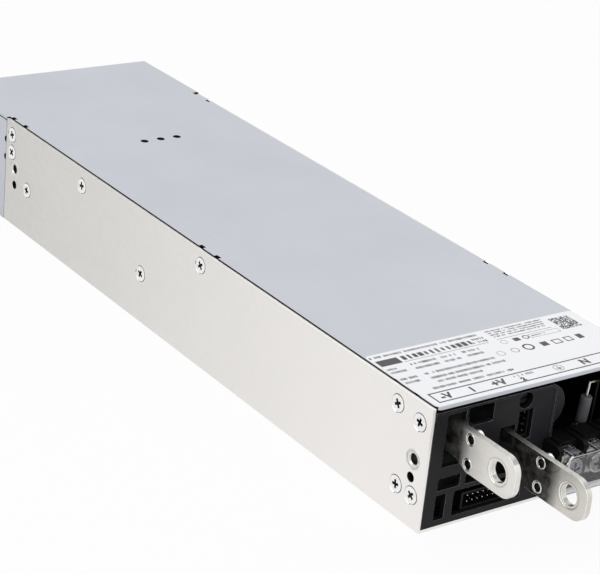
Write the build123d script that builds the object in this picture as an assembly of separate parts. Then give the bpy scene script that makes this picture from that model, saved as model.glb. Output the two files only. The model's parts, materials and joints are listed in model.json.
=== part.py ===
from build123d import *
import os

os.makedirs("parts", exist_ok=True)

# Enclosed switching power supply of 1U height, all sizes in millimetres.
# X runs along the case, with the terminals at +X and the fans at -X. Y runs across, Z up from the underside.

# Case
case_length = 300.0
case_width = 85.0
case_height = 41.0
chassis_sheet = 1.0
cover_sheet = 1.0
sheet_gap = 0.2
wall_setback = 0.5
wall_top_drop = 0.4
cover_setback = 0.3
bend_radius = 0.6
seam_from_rear = 42.0
cover_corner_radius = 2.0
lip_depth = 10.0
lip_ends_from_rear = ((44.0, 75.0), (case_length - 128.0, case_length - 9.0))
lip_top_gap = 0.5
relief_length = 2.5
relief_depth = 1.3
left_reliefs = (44.5, 53.6, case_length - 124.7, case_length - 115.5, case_length - 19.3, case_length - 9.8)
right_reliefs = (42.6, 52.0, case_length - 76.8, case_length - 66.6)
tongue_bottom = 0.6463 * case_height
tongue_height = 4.5
tongue_reach = 10.5
tongue_relief_radius = 1.25
light_hole_radius = 1.5
light_hole_pitch = 7.0
light_hole_from_rear = 82.7

# M4 mounting inserts pressed into both side walls
insert_places = ((49.1, 0.5512), (case_length - 6.4, 0.5317))
insert_radius = 3.2
insert_bore_radius = 1.65
insert_mouth_radius = 2.1
insert_flange_radius = 3.7
insert_flange_depth = 2.6

# Left heatsink along the wall, from just past the rear insert
heatsink_insert_gap = 1.7
left_heatsink_length = 95.5
left_heatsink_start = insert_places[0][0] + insert_flange_radius + heatsink_insert_gap
left_heatsink_end = left_heatsink_start + left_heatsink_length

# Countersunk M3 screws in the walls: distance from the rear and share of the case height
screw_radius = 1.5
screw_head_radius = 3.0
screw_head_depth = 1.5
screw_length = 5.0
screw_play = 0.05
recess_length = 3.4
recess_width = 0.75
recess_depth = 1.1
left_screws = ((46.4, 0.8634), (46.5, 0.6951), (left_heatsink_start + 4.7, 0.4341),
               (left_heatsink_start + 44.7, 0.839), (left_heatsink_end - 8.4, 0.4317),
               (case_length - 122.4, 0.8634), (case_length - 16.2, 0.861),
               (case_length - 5.7, 0.8317), (case_length - 12.8, 0.2561), (case_length - 5.5, 0.2537))
right_screws = ((46.4, 0.8634), (46.5, 0.6951), (case_length - 71.7, 0.8634), (0.6 * case_length, 0.4317),
                (0.7667 * case_length, 0.4317))
plain_holes = ((49.6, 0.4024), (case_length - 6.6, 0.3878))
plain_hole_radius = 1.6

# Label on the cover
label_thickness = 0.15
label_from_front = 0.3
label_length = 34.9
label_side_margin = 0.2
label_radius = 1.5

# Fans, two side by side behind the rear panel
fan_depth = 28.0
fan_gap = 0.2
fan_headroom = 0.5
fan_side_gap = 0.4
fan_rim = 0.9
fan_corner_radius = 2.5
fan_hole_inset = 3.25
fan_hole_radius = 1.55
fan_screw_length = 8.0
hub_share = 0.52
hub_wall = 1.0
hub_cap = 1.4
hub_inset = 1.6
blade_count = 7
blade_chord_share = 1.05
blade_thickness = 0.9
blade_camber = 2.2
blade_pitch_angle = 42.0
blade_tip_gap = 0.6
shaft_radius = 1.0
shaft_play = 0.04
bearing_radius = 2.5
bearing_length = 2.5
bearing_tube_wall = 0.9
bearing_end_gap = 0.4
bearing_spacing_gap = 0.6
shaft_end_gap = 0.3
hub_boss_wall = 1.2
hub_boss_length = 2.0
tube_front_gap = 2.6
hub_back_gap = 1.2
stator_back_gap = 2.0
stator_slot_floor = 1.0
blade_front_gap = 0.4
strut_overlap = 0.5
motor_plate = 1.6
motor_strut_width = 2.2
stator_gap = 0.7
stator_length = 11.0
stator_slot_width = 1.6
grille_rings = ((0.3536, 0.5083), (0.5691, 0.7238), (0.7845, 0.9392))
grille_spoke_width = 1.6
grille_spokes = 4

# Circuit board on standoffs
board_thickness = 1.6
board_height = 6.0
board_side_gap = 2.2
board_rear_gap = 4.8
board_front_left = 10.6
board_front_right = 1.0
film_thickness = 0.4
film_margin = 3.0
left_standoffs = (40.0, left_heatsink_end + 12.0, case_length - 18.0)
right_standoffs = (40.0, 0.54 * case_length, case_length - 18.0)
standoff_from_edge = 3.8
standoff_radius = 2.6
standoff_foot_radius = 2.1
standoff_bore_radius = 1.25
board_hole_radius = 1.7
pan_head_radius = 2.8
pan_head_height = 1.9
pan_screw_radius = 1.2
pan_screw_length = 4.5

# Front bezel
bezel_thickness = 1.8
bezel_setback = 0.5
bezel_right_lap = 2.5
bezel_corner_radius = 2.5
bezel_rim = 0.7
bezel_rim_height = 0.4
bezel_gap = 0.2
bezel_top_gap = 0.8
vent_windows = (((-0.4365, -0.3376), (0.3122, 0.4122)), ((-0.3141, -0.1988), (0.3122, 0.3878)),
                ((-0.4376, -0.3918), (0.0732, 0.2756)), ((-0.34, -0.2259), (0.7829, 0.9317)))
vent_row_low = 0.2756 * case_height
window_side = 4.0
window_play = 0.3
ear_thickness = 2.8
ear_board_gap = 0.5
upper_ear = ((case_length - 8.5, case_length - 2.0), (0.6707, 0.9268))
lower_ear = ((case_length - 16.5, case_length - 2.0), (0.0976, 0.3415))

# Output blades: tin-plated copper, standing on edge
blade_bar = 2.0
blade_width = 13.3
blade_corner_radius = 5.0
blade_hole_radius = 3.2
blade_hole_from_tip = 7.4
blade_rim_radius = 4.0
blade_rim_depth = 0.2
blade_root_depth = 32.0
blade_foot_length = 11.0
blade_root_chamfer = 4.5
negative_left = -0.37647 * case_width
negative_middle = 0.66707 * case_height
negative_reach = 25.2
positive_left = -0.14118 * case_width
positive_middle = 0.48049 * case_height
positive_reach = 34.4
negative_flange = 5.4
positive_flange = 3.3
flange_length = 15.0
nut_from_tip = 20.2
nut_spacing = 8.0
nut_radius = 1.9
nut_bore_radius = 1.25
nut_body_radius = 2.4
nut_body_length = 1.6
slot_play = 0.3
slot_margins = ((4.6, 3.6), (3.6, 2.4))

# Upright front board with the signal headers and the trimmer
front_board_from_front = 9.0
front_board_thickness = 1.6
front_board_side_gap = 1.1
front_board_top_gap = 1.0
front_board_foot_gap = 1.2
pin_tail = 1.2
header_pitch = 2.0
header_front_setback = 1.5
header_wall = 0.8
header_floor = 1.6
header_end = 3.2
pin_width = 0.5
pin_setback = 0.8
signal_pins = 7
signal_first_pin = -0.20118 * case_width - 6.0
signal_middle = 0.15244 * case_height
signal_height = 5.9
aux_pins = 4
aux_width = 4.8
aux_blade_gap = 0.2
aux_left_pin = positive_left + positive_flange + aux_blade_gap + (aux_width - header_pitch) / 2
aux_middle = 0.67927 * case_height
aux_end = 1.7
trimmer_y = aux_left_pin + 0.2
trimmer_z = 0.87805 * case_height
trimmer_body = 5.0
trimmer_depth = 4.0
trimmer_rotor_radius = 1.9
trimmer_rotor_length = 2.6
trimmer_play = 0.05
trimmer_slot = 0.6
trimmer_window_radius = 2.75

# Mains terminal block
pole_count = 3
pole_pitch = 10.0
first_pole = 0.21882 * case_width - pole_pitch
barrier_thickness = 1.8
block_top = 20.2
block_back_setback = 3.2
block_face_reach = 4.8
barrier_reach = 6.4
panel_width = 6.6
panel_rise = 0.8
contact_thickness = 0.9
contact_width = 7.4
contact_height = 8.0
screw4_radius = 2.0
screw4_play = 0.06
screw4_head_radius = 3.5
screw4_head_height = 2.2
screw4_length = 8.0
screw4_height = 13.6
screw4_slot_length = 4.4
screw4_slot_width = 1.0
screw4_end_room = 1.0
clamp_size = 7.4
clamp_thickness = 0.9
clamp_gap = 0.1
screw4_seat_gap = 0.05
hinge_reach = 5.2
hinge_height = 19.2
hinge_nose_radius = 1.75
hinge_barrel_radius = 1.1
hinge_pin_radius = 0.6
hinge_play = 0.06
barrel_length = 4.0
barrel_gap = 0.3
arm_thickness = 1.0
block_step = 1.0
cover_plate_corner = 1.5
cover_plate_reach = 11.4
cover_plate_thickness = 0.8
cover_plate_top = 20.3
cover_plate_bottom = 7.6
cover_side_gap = 0.3

# Parts on the circuit board
solder_gap = 0.1
heatsink_base = 3.0
heatsink_foot = 9.0
heatsink_top = 0.7195 * case_height
heatsink_leg = 6.0
fin_thickness = 1.2
fin_height = 7.0
left_heatsink = (left_heatsink_start, left_heatsink_end)
left_heatsink_tab = (left_heatsink_start + 35.5, left_heatsink_start + 53.5)
left_heatsink_tab_top = 0.9268 * case_height
right_heatsink = (0.5733 * case_length, 0.7933 * case_length)
package_width = 15.6
package_gap = 1.2
package_depth = 4.6
bridge_from_start = 15.5
first_transistor_from_start = 39.5
transistor_pitch = 20.0
bridge_place = left_heatsink_start + bridge_from_start
first_transistor = left_heatsink_start + first_transistor_from_start
left_package_places = tuple(first_transistor + i * transistor_pitch for i in range(3))
right_package_places = (0.6133 * case_length, 0.6833 * case_length, 0.7533 * case_length)
bridge_length = 25.0
bulk_headroom = 3.1
bulk_length = 40.0
bulk_places = (0.2 * case_length, 0.3533 * case_length)
bulk_side = 0.2 * case_width
output_can_radius = 4.0
output_can_top = 31.6
output_can_rows = (-0.29647 * case_width, -0.19765 * case_width)
output_can_places = (case_length - 14.6, case_length - 23.6, case_length - 32.6)
lying_can_radius = 7.5
lying_can_side = 0.06235 * case_width
lying_can_middle = 0.7122 * case_height
lying_can_from_front = 4.0
lying_can_length = 25.0
lying_can_lead_spacing = 6.8
lying_can_lead_reach = 2.0
lead_radius = 0.4
core_length = 34.0
core_width = 30.0
core_leg = 9.0
core_middle_from_rear = 0.62 * case_length
core_side = -0.0353 * case_width
core_height = 27.0
winding_clearance = 0.3
toroid_radius = 11.4
toroid_hole = 6.0
toroid_height = 12.0
toroid_places = ((0.7333 * case_length, -0.0235 * case_width), (0.7333 * case_length, -0.3176 * case_width))
choke_radius = 7.0
choke_hole = 3.2
choke_height = 10.5
choke_places = ((0.8333 * case_length, 0.0765 * case_width), (0.8733 * case_length, 0.3176 * case_width))
film_cap_size = (13.0, 20.0, 14.0)
film_cap_place = (0.82 * case_length, 0.3176 * case_width)
relay_size = (14.0, 11.0, 15.0)
relay_place = (0.74 * case_length, 0.2353 * case_width)
fuse_radius = 1.9
fuse_body = (17.0, 25.6)
fuse_lead_top = 30.4
fuse_lead_offset = 3.6
fuse_from_front = 10.0
fuse_side = 0.31647 * case_width
control_board_size = (1.2, 30.0, 22.0)
control_board_place = (0.5167 * case_length, 0.1882 * case_width)
can_edge_share = 0.08

# Places that follow from the sizes above
front = case_length / 2
rear = -case_length / 2
half_width = case_width / 2
wall_inside = half_width - chassis_sheet
seam = rear + seam_from_rear
wall_front = front - wall_setback
cover_front = front - cover_setback
cover_underside = case_height - cover_sheet
lip_outside = wall_inside - sheet_gap
lip_inside = lip_outside - cover_sheet
board_top = board_height + board_thickness
parts_floor = board_top + solder_gap
bezel_front = front - bezel_setback
bezel_back = bezel_front - bezel_thickness
front_board_front = front - front_board_from_front + front_board_thickness
header_front = front - header_front_setback
fan_room_high = cover_underside - chassis_sheet - 2 * fan_headroom
fan_room_wide = half_width - cover_sheet - sheet_gap - fan_gap / 2 - fan_side_gap
fan_size = min(fan_room_high, fan_room_wide)
fan_bore_radius = fan_size / 2 - fan_rim
fan_hole_pitch = fan_size - 2 * fan_hole_inset
hub_radius = hub_share * fan_bore_radius
blade_chord = blade_chord_share * fan_bore_radius
bulk_radius = (cover_underside - parts_floor - bulk_headroom) / 2
base_align = (Align.CENTER, Align.CENTER, Align.MIN)


# Simple solids by their limits
def block(x, y, z):
    solid = Box(x[1] - x[0], y[1] - y[0], z[1] - z[0])
    return Pos((x[0] + x[1]) / 2, (y[0] + y[1]) / 2, (z[0] + z[1]) / 2) * solid


def rod_x(x, y, z, radius):
    return Pos(x[0], y, z) * Rot(0, 90, 0) * Cylinder(radius, x[1] - x[0], align=base_align)


def rod_y(x, y, z, radius):
    return Pos(x, y[0], z) * Rot(-90, 0, 0) * Cylinder(radius, y[1] - y[0], align=base_align)


def rod_z(x, y, z, radius):
    return Pos(x, y, z[0]) * Cylinder(radius, z[1] - z[0], align=base_align)


def mirrored(low, high, side):
    return tuple(sorted((side * low, side * high)))


def save(name, shape):
    export_step(shape, f"parts/{name}.step")


def save_group(name, solids):
    export_step(Compound(children=list(solids)), f"parts/{name}.step")


# Countersunk screw, head face at the origin and shank towards +Z
def flat_screw(length):
    head = Cone(screw_head_radius, screw_radius, screw_head_depth, align=base_align)
    shank = Pos(0, 0, screw_head_depth) * Cylinder(screw_radius, length - screw_head_depth, align=base_align)
    slot = Box(recess_length, recess_width, 2 * recess_depth)
    return head + shank - slot - Rot(0, 0, 90) * slot


def flat_screw_space(length):
    wide = screw_head_radius + screw_play
    narrow = screw_radius + screw_play
    mouth = Pos(0, 0, -cover_sheet) * Cylinder(wide, cover_sheet, align=base_align)
    head = Cone(wide, narrow, screw_head_depth, align=base_align)
    return mouth + head + Cylinder(narrow, length + cover_sheet, align=base_align)


# Places on the side walls and on the rear panel
def on_wall(side, from_rear, height_share):
    return Pos(rear + from_rear, side * half_width, height_share * case_height) * Rot(90 * side, 0, 0)


def on_rear(y, z):
    return Pos(rear, y, z) * Rot(0, 90, 0)


def wall_screw_places():
    left = [(-1, x, z) for x, z in left_screws]
    right = [(1, x, z) for x, z in right_screws]
    return left + right


def cut_wall_screws(shape):
    for side, x, z in wall_screw_places():
        shape = shape - on_wall(side, x, z) * flat_screw_space(screw_length)
    return shape


def fan_centres():
    middle = (chassis_sheet + cover_underside) / 2
    offset = fan_size / 2 + fan_gap / 2
    return ((-offset, middle), (offset, middle))


def fan_corner_places():
    step = fan_hole_pitch / 2
    return [(y + a * step, z + b * step) for y, z in fan_centres() for a in (-1, 1) for b in (-1, 1)]


# Chassis: one folded channel of galvanised sheet
def make_chassis():
    wall_top = case_height - wall_top_drop
    outer = block((seam + sheet_gap, wall_front), (-half_width, half_width), (0, wall_top))
    long_edges = outer.edges().filter_by(Axis.X).sort_by(Axis.Z)[:2]
    outer = fillet(long_edges, bend_radius)
    inner = block((rear, front + 1), (-wall_inside, wall_inside), (chassis_sheet, case_height + 1))
    tail_side = half_width - cover_sheet - sheet_gap
    tail = block((rear + cover_sheet + sheet_gap, seam + 1), (-tail_side, tail_side), (0, chassis_sheet))
    shape = outer - inner + tail
    shape = cut_wall_screws(shape)
    for side in (-1, 1):
        for x, z in insert_places:
            shape = shape - on_wall(side, x, z) * Cylinder(insert_radius, 4 * chassis_sheet)
        for x, z in plain_holes:
            shape = shape - on_wall(side, x, z) * Cylinder(plain_hole_radius, 4 * chassis_sheet)
    for x, y in standoff_centres():
        shape = shape - Pos(x, y, 0) * Cylinder(standoff_foot_radius, 4 * chassis_sheet)
    return shape


# Cover: top, fan panel and rear side tabs folded from one coated sheet
def grille_cut(y, z):
    depth = (rear - 1, rear + cover_sheet + 1)
    slots = None
    for inner, outer in grille_rings:
        ring = rod_x(depth, y, z, outer * fan_bore_radius) - rod_x(depth, y, z, inner * fan_bore_radius)
        slots = ring if slots is None else slots + ring
    reach = fan_bore_radius
    for i in range(grille_spokes // 2):
        bar = Box(4 * cover_sheet, 2 * reach, grille_spoke_width)
        slots = slots - Pos(rear, y, z) * Rot(45 + 90 * i, 0, 0) * bar
    return slots


def make_cover():
    lid = block((rear, cover_front), (-lip_outside, lip_outside), (cover_underside, case_height))
    lid = fillet(lid.edges().filter_by(Axis.Z).sort_by(Axis.X)[-2:], cover_corner_radius)
    lid = lid + block((rear, seam), (-half_width, half_width), (cover_underside, case_height))
    panel = block((rear, rear + cover_sheet), (-half_width, half_width), (sheet_gap, case_height))
    shape = lid + panel
    for side in (-1, 1):
        shape = shape + rear_tab(side)
        for start, end in lip_ends_from_rear:
            y = mirrored(lip_inside, lip_outside, side)
            z = (case_height - lip_depth, case_height - lip_top_gap)
            shape = shape + block((rear + start, rear + end), y, z)
        for x in (left_reliefs if side < 0 else right_reliefs):
            y = mirrored(lip_outside - relief_depth, lip_outside + 1, side)
            z = (cover_underside - relief_depth, case_height + 1)
            shape = shape - block((rear + x - relief_length / 2, rear + x + relief_length / 2), y, z)
    shape = cut_wall_screws(shape)
    for y, z in fan_centres():
        shape = shape - grille_cut(y, z)
    for y, z in fan_corner_places():
        shape = shape - on_rear(y, z) * flat_screw_space(fan_screw_length)
    for i in (-1, 0, 1):
        hole = Cylinder(light_hole_radius, 4 * cover_sheet)
        shape = shape - Pos(rear + light_hole_from_rear, i * light_hole_pitch, case_height) * hole
    return shape


def rear_tab(side):
    tab_y = mirrored(half_width - cover_sheet, half_width, side)
    tab = block((rear, seam), tab_y, (sheet_gap, cover_underside - 2 * sheet_gap))
    tongue_z = (tongue_bottom, tongue_bottom + tongue_height)
    for z in (tongue_z[0] - tongue_relief_radius, tongue_z[1] + tongue_relief_radius):
        tab = tab - rod_y(seam, (-case_width, case_width), z, tongue_relief_radius)
    joggle_y = mirrored(lip_inside, half_width - cover_sheet / 2, side)
    joggle = block((seam - 3 * cover_sheet, seam - cover_sheet), joggle_y, tongue_z)
    tongue_y = mirrored(lip_inside, lip_outside, side)
    tongue = block((seam - 3 * cover_sheet, seam + tongue_reach), tongue_y, tongue_z)
    return tab + joggle + tongue


def make_label():
    end = cover_front - label_from_front
    side = lip_outside - label_side_margin
    sheet = block((end - label_length, end), (-side, side), (case_height, case_height + label_thickness))
    return fillet(sheet.edges().filter_by(Axis.Z), label_radius)


# Fixings of the case
def make_wall_screws():
    return [on_wall(side, x, z) * flat_screw(screw_length) for side, x, z in wall_screw_places()]


def make_fan_screws():
    return [on_rear(y, z) * flat_screw(fan_screw_length) for y, z in fan_corner_places()]


def make_mounting_inserts():
    depth = chassis_sheet + insert_flange_depth
    collar = Cylinder(insert_radius, depth, align=base_align)
    flange = Pos(0, 0, chassis_sheet) * Cylinder(insert_flange_radius, insert_flange_depth, align=base_align)
    mouth_depth = insert_mouth_radius - insert_bore_radius
    bore = Cylinder(insert_bore_radius, 3 * depth)
    mouth = Cone(insert_mouth_radius, insert_bore_radius, mouth_depth, align=base_align)
    insert = collar + flange - bore - mouth
    return [on_wall(side, x, z) * insert for side in (-1, 1) for x, z in insert_places]


# Circuit board, its film and its standoffs
def standoff_centres():
    side = wall_inside - board_side_gap - standoff_from_edge
    left = [(rear + x, -side) for x in left_standoffs]
    return left + [(rear + x, side) for x in right_standoffs]


def make_standoffs():
    bore_depth = board_height - chassis_sheet
    solids = []
    for x, y in standoff_centres():
        foot = rod_z(x, y, (0, chassis_sheet), standoff_foot_radius)
        post = rod_z(x, y, (chassis_sheet, board_height), standoff_radius)
        bore = rod_z(x, y, (board_height - bore_depth, board_height + 1), standoff_bore_radius)
        solids.append(foot + post - bore)
    return solids


def make_board_screws():
    solids = []
    for x, y in standoff_centres():
        head = rod_z(x, y, (board_top, board_top + pan_head_height), pan_head_radius)
        head = fillet(head.edges().group_by(Axis.Z)[-1], pan_head_height / 3)
        shank = rod_z(x, y, (board_top - pan_screw_length, board_top), pan_screw_radius)
        slot = Box(recess_length, recess_width, 2 * recess_depth)
        top = Pos(x, y, board_top + pan_head_height)
        solids.append(head + shank - top * slot - top * Rot(0, 0, 90) * slot)
    return solids


def board_outline(thickness_from, thickness_to):
    side = wall_inside - board_side_gap
    start = rear + cover_sheet + sheet_gap + fan_depth + board_rear_gap
    left_end = front - board_front_left
    right_start = block_sides()[0] + bezel_gap
    main = block((start, left_end), (-side, side), (thickness_from, thickness_to))
    ear_x = (rear + lower_ear[0][0] - window_play, front)
    ear_y = (-half_width, ear_thickness + window_play - lip_outside)
    main = main - block(ear_x, ear_y, (thickness_from - 1, thickness_to + 1))
    right_end = front - board_front_right
    return main + block((start, right_end), (right_start, side), (thickness_from, thickness_to))


def make_main_board():
    shape = board_outline(board_height, board_top)
    for x, y in standoff_centres():
        shape = shape - rod_z(x, y, (0, case_height), board_hole_radius)
    return shape


def make_film():
    side = wall_inside - film_margin
    start = rear + cover_sheet + sheet_gap + fan_depth + board_rear_gap
    end = front - board_front_left - film_margin
    sheet = block((start, end), (-side, side), (chassis_sheet, chassis_sheet + film_thickness))
    for x, y in standoff_centres():
        sheet = sheet - rod_z(x, y, (0, case_height), standoff_radius + sheet_gap)
    return sheet


# Front bezel: moulded plate with windows for blades, headers and trimmer
def bezel_windows():
    signal_y, signal_z = signal_header_limits()
    aux_y, aux_z = aux_header_limits()
    signal_sides = (signal_y[0] - window_side, signal_y[1] + window_side)
    signal = (signal_sides, (signal_z[0] - window_play, vent_row_low))
    aux_sides = (aux_y[0] - 2 * window_play, aux_y[1] + window_play)
    aux = (aux_sides, (aux_z[0] - window_play, aux_z[1] + window_play))
    vents = []
    for (left, right), (low, high) in vent_windows:
        vents.append(((left * case_width, right * case_width), (low * case_height, high * case_height)))
    return vents + [signal, aux]


def blade_slots():
    slots = []
    for (left, middle, flange), (side, rise) in zip(blade_places(), slot_margins):
        bottom = middle - blade_width / 2
        top = middle + blade_width / 2
        slots.append(((left - side, left + blade_bar + slot_play), (bottom - slot_play, top + rise)))
        slots.append(((left, left + flange + slot_play), (top - blade_bar - slot_play, top + slot_play)))
    return slots


def blade_places():
    negative = (negative_left, negative_middle, negative_flange)
    return negative, (positive_left, positive_middle, positive_flange)


def make_bezel():
    left = -lip_outside
    right = block_sides()[0] + bezel_right_lap
    bottom = chassis_sheet + bezel_gap
    top = cover_underside - bezel_top_gap
    plate = block((bezel_back, bezel_front), (left, right), (bottom, top))
    corner = plate.edges().filter_by(Axis.X).group_by(Axis.Y)[-1].sort_by(Axis.Z)[-1]
    plate = fillet(corner, bezel_corner_radius)
    hollow = block((bezel_front, front), (left - 1, right - bezel_rim), (bottom - 1, top - bezel_rim))
    rim = block((bezel_front, bezel_front + bezel_rim_height), (left, right), (bottom, top))
    rim_corner = rim.edges().filter_by(Axis.X).group_by(Axis.Y)[-1].sort_by(Axis.Z)[-1]
    rim = fillet(rim_corner, bezel_corner_radius)
    hollow_corner = hollow.edges().filter_by(Axis.X).group_by(Axis.Y)[-1].sort_by(Axis.Z)[-1]
    shape = plate + (rim - fillet(hollow_corner, bezel_corner_radius - bezel_rim))
    for y, z in bezel_windows() + blade_slots():
        shape = shape - block((bezel_back - 1, front), y, z)
    shape = shape - rod_x((bezel_back - 1, front), trimmer_y, trimmer_z, trimmer_window_radius)
    terminal_notch_y = (block_sides()[0] - bezel_gap, right + 1)
    shape = shape - block((bezel_back - 1, front), terminal_notch_y, (0, block_top + panel_rise + bezel_gap))
    for x, z in (upper_ear, lower_ear):
        ear_z = (z[0] * case_height, z[1] * case_height)
        shape = shape + block((rear + x[0], rear + x[1]), (-lip_outside, -lip_outside + ear_thickness), ear_z)
    return cut_wall_screws(shape)


# Output blade: flat bar with a folded stiffening flange and a foot on the circuit board
def blade_solid(left, middle, flange, reach):
    tip = front + reach
    root = front - blade_root_depth
    bottom = middle - blade_width / 2
    top = middle + blade_width / 2
    foot = root + blade_foot_length
    neck = bottom + blade_root_chamfer / 2
    outline = Polyline((root, top), (tip, top), (tip, bottom), (front + blade_root_chamfer, bottom),
                       (front, neck), (foot, neck), (foot, parts_floor), (root, parts_floor), close=True)
    face = make_face(outline)
    corners = face.vertices().group_by(Axis.X)[-1]
    face = fillet(corners, blade_corner_radius)
    plane = Plane(origin=(0, left, 0), x_dir=(1, 0, 0), z_dir=(0, -1, 0))
    bar = extrude(plane * face, -blade_bar)
    fold_start = front - flange_length
    fold = Polyline((fold_start, left), (fold_start, left + flange), (front - flange / 2, left + flange),
                    (front + flange / 2 + blade_bar / 2, left), close=True)
    ledge = extrude(Pos(0, 0, top - blade_bar) * make_face(fold), blade_bar)
    shape = bar + ledge
    hole_x = tip - blade_hole_from_tip
    shape = shape - rod_y(hole_x, (left - 1, left + blade_bar + 1), middle, blade_hole_radius)
    shape = shape - rod_y(hole_x, (left - 1, left + blade_rim_depth), middle, blade_rim_radius)
    for z in nut_heights(middle):
        shape = shape - rod_y(tip - nut_from_tip, (left - 1, left + blade_bar + 1), z, nut_radius)
    return shape


def nut_heights(middle):
    return (middle - nut_spacing / 2, middle + nut_spacing / 2)


def make_blade_nuts():
    solids = []
    for left, middle, reach in ((negative_left, negative_middle, negative_reach),
                                (positive_left, positive_middle, positive_reach)):
        x = front + reach - nut_from_tip
        for z in nut_heights(middle):
            collar = rod_y(x, (left, left + blade_bar), z, nut_radius)
            body = rod_y(x, (left + blade_bar, left + blade_bar + nut_body_length), z, nut_body_radius)
            bore = rod_y(x, (left - 1, left + blade_bar + nut_body_length + 1), z, nut_bore_radius)
            solids.append(collar + body - bore)
    return solids


# Front board with two headers and the trimmer
def make_front_board():
    x = (front_board_front - front_board_thickness, front_board_front)
    y = (-lip_outside + ear_thickness + ear_board_gap, aux_header_limits()[0][1] + front_board_side_gap)
    shape = block(x, y, (chassis_sheet + front_board_foot_gap, cover_underside - front_board_top_gap))
    for left, middle, flange in blade_places():
        bottom = middle - blade_width / 2 - slot_play
        top = middle + blade_width / 2 + slot_play
        bar = (left - slot_play, left + blade_bar + slot_play)
        shape = shape - block((x[0] - 1, x[1] + 1), bar, (bottom, top))
        fold = (left, left + flange + slot_play)
        shape = shape - block((x[0] - 1, x[1] + 1), fold, (top - blade_bar - 2 * slot_play, top))
    for y, z in signal_pin_places() + aux_pin_places():
        shape = shape - block((x[0] - 1, x[1] + 1), pin_side(y), pin_side(z))
    return shape


def pin_side(value):
    return (value - pin_width / 2, value + pin_width / 2)


def signal_pin_places():
    rows = (signal_middle - header_pitch / 2, signal_middle + header_pitch / 2)
    return [(signal_first_pin + i * header_pitch, z) for i in range(signal_pins) for z in rows]


def aux_pin_places():
    lowest = aux_middle - (aux_pins - 1) * header_pitch / 2
    columns = (aux_left_pin, aux_left_pin + header_pitch)
    return [(y, lowest + i * header_pitch) for i in range(aux_pins) for y in columns]


def header_body(y, z, places):
    outer = block((front_board_front, header_front), y, z)
    inner_y = (y[0] + header_wall, y[1] - header_wall)
    inner_z = (z[0] + header_wall, z[1] - header_wall)
    shape = outer - block((front_board_front + header_floor, header_front + 1), inner_y, inner_z)
    for a, b in places:
        shape = shape - block((front_board_front - 1, header_front), pin_side(a), pin_side(b))
    return shape


def header_pins(places):
    back = front_board_front - front_board_thickness - pin_tail
    return [block((back, header_front - pin_setback), pin_side(y), pin_side(z)) for y, z in places]


def signal_header_limits():
    last = signal_first_pin + (signal_pins - 1) * header_pitch
    z = (signal_middle - signal_height / 2, signal_middle + signal_height / 2)
    return (signal_first_pin - header_end, last + header_end), z


def aux_header_limits():
    middle = aux_left_pin + header_pitch / 2
    reach = (aux_pins - 1) * header_pitch / 2 + aux_end
    return (middle - aux_width / 2, middle + aux_width / 2), (aux_middle - reach, aux_middle + reach)


def make_signal_header():
    y, z = signal_header_limits()
    return header_body(y, z, signal_pin_places())


def make_aux_header():
    y, z = aux_header_limits()
    return header_body(y, z, aux_pin_places())


def make_trimmer_body():
    half = trimmer_body / 2
    x = (front_board_front, front_board_front + trimmer_depth)
    body = block(x, (trimmer_y - half, trimmer_y + half), (trimmer_z - half, trimmer_z + half))
    seat = x[1] - trimmer_rotor_length / 2 - trimmer_play
    return body - rod_x((seat, x[1] + 1), trimmer_y, trimmer_z, trimmer_rotor_radius + trimmer_play)


def make_trimmer_rotor():
    face = front_board_front + trimmer_depth + trimmer_rotor_length / 2
    rotor = rod_x((face - trimmer_rotor_length, face), trimmer_y, trimmer_z, trimmer_rotor_radius)
    slot = Pos(face, trimmer_y, trimmer_z) * Box(2 * trimmer_slot, 4 * trimmer_rotor_radius, trimmer_slot)
    return rotor - slot


# Mains terminal block with barriers, contacts, clamping screws and a clear hinged cover
def block_sides():
    first = first_pole - pole_pitch / 2 - barrier_thickness / 2
    return first, first + pole_count * pole_pitch + barrier_thickness


def pole_centre(i):
    return first_pole + i * pole_pitch


def barrier_centre(i):
    return first_pole + (i - 0.5) * pole_pitch


def barrier_span(i):
    return (barrier_centre(i) - barrier_thickness / 2, barrier_centre(i) + barrier_thickness / 2)


def make_terminal_block():
    face = front + block_face_reach
    back = front - block_back_setback
    hinge = front + hinge_reach
    shelf = hinge_height - hinge_barrel_radius - barrel_gap
    upper_face = hinge - hinge_barrel_radius - barrel_gap
    shape = block((back, face), block_sides(), (parts_floor, shelf))
    shape = shape + block((back, upper_face), block_sides(), (parts_floor, block_top))
    for i in range(pole_count + 1):
        barrier = block((back, front + barrier_reach), barrier_span(i), (parts_floor, hinge_height))
        nose = rod_y(hinge, barrier_span(i), hinge_height, hinge_nose_radius)
        bridge = block((back, hinge), barrier_span(i), (shelf, block_top + panel_rise))
        shape = shape + barrier + nose + bridge
    for i in range(pole_count):
        middle = pole_centre(i)
        panel_y = (middle - panel_width / 2, middle + panel_width / 2)
        shape = shape + block((back, upper_face), panel_y, (block_top - block_step, block_top + panel_rise))
        seat_y = (middle - contact_width / 2 - slot_play, middle + contact_width / 2 + slot_play)
        seat_z = (screw4_height - contact_height / 2, screw4_height + contact_height / 2)
        shape = shape - block((face - contact_thickness, face + 1), seat_y, seat_z)
        tunnel = (face + clamp_thickness - screw4_length - screw4_end_room, face + 1)
        shape = shape - rod_x(tunnel, middle, screw4_height, screw4_radius + 2 * screw4_play)
    for i in range(pole_count):
        pin_hole = (barrier_centre(i), barrier_centre(i) + barrier_thickness)
        shape = shape - rod_y(hinge, pin_hole, hinge_height, hinge_pin_radius + hinge_play)
    return shape


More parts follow.
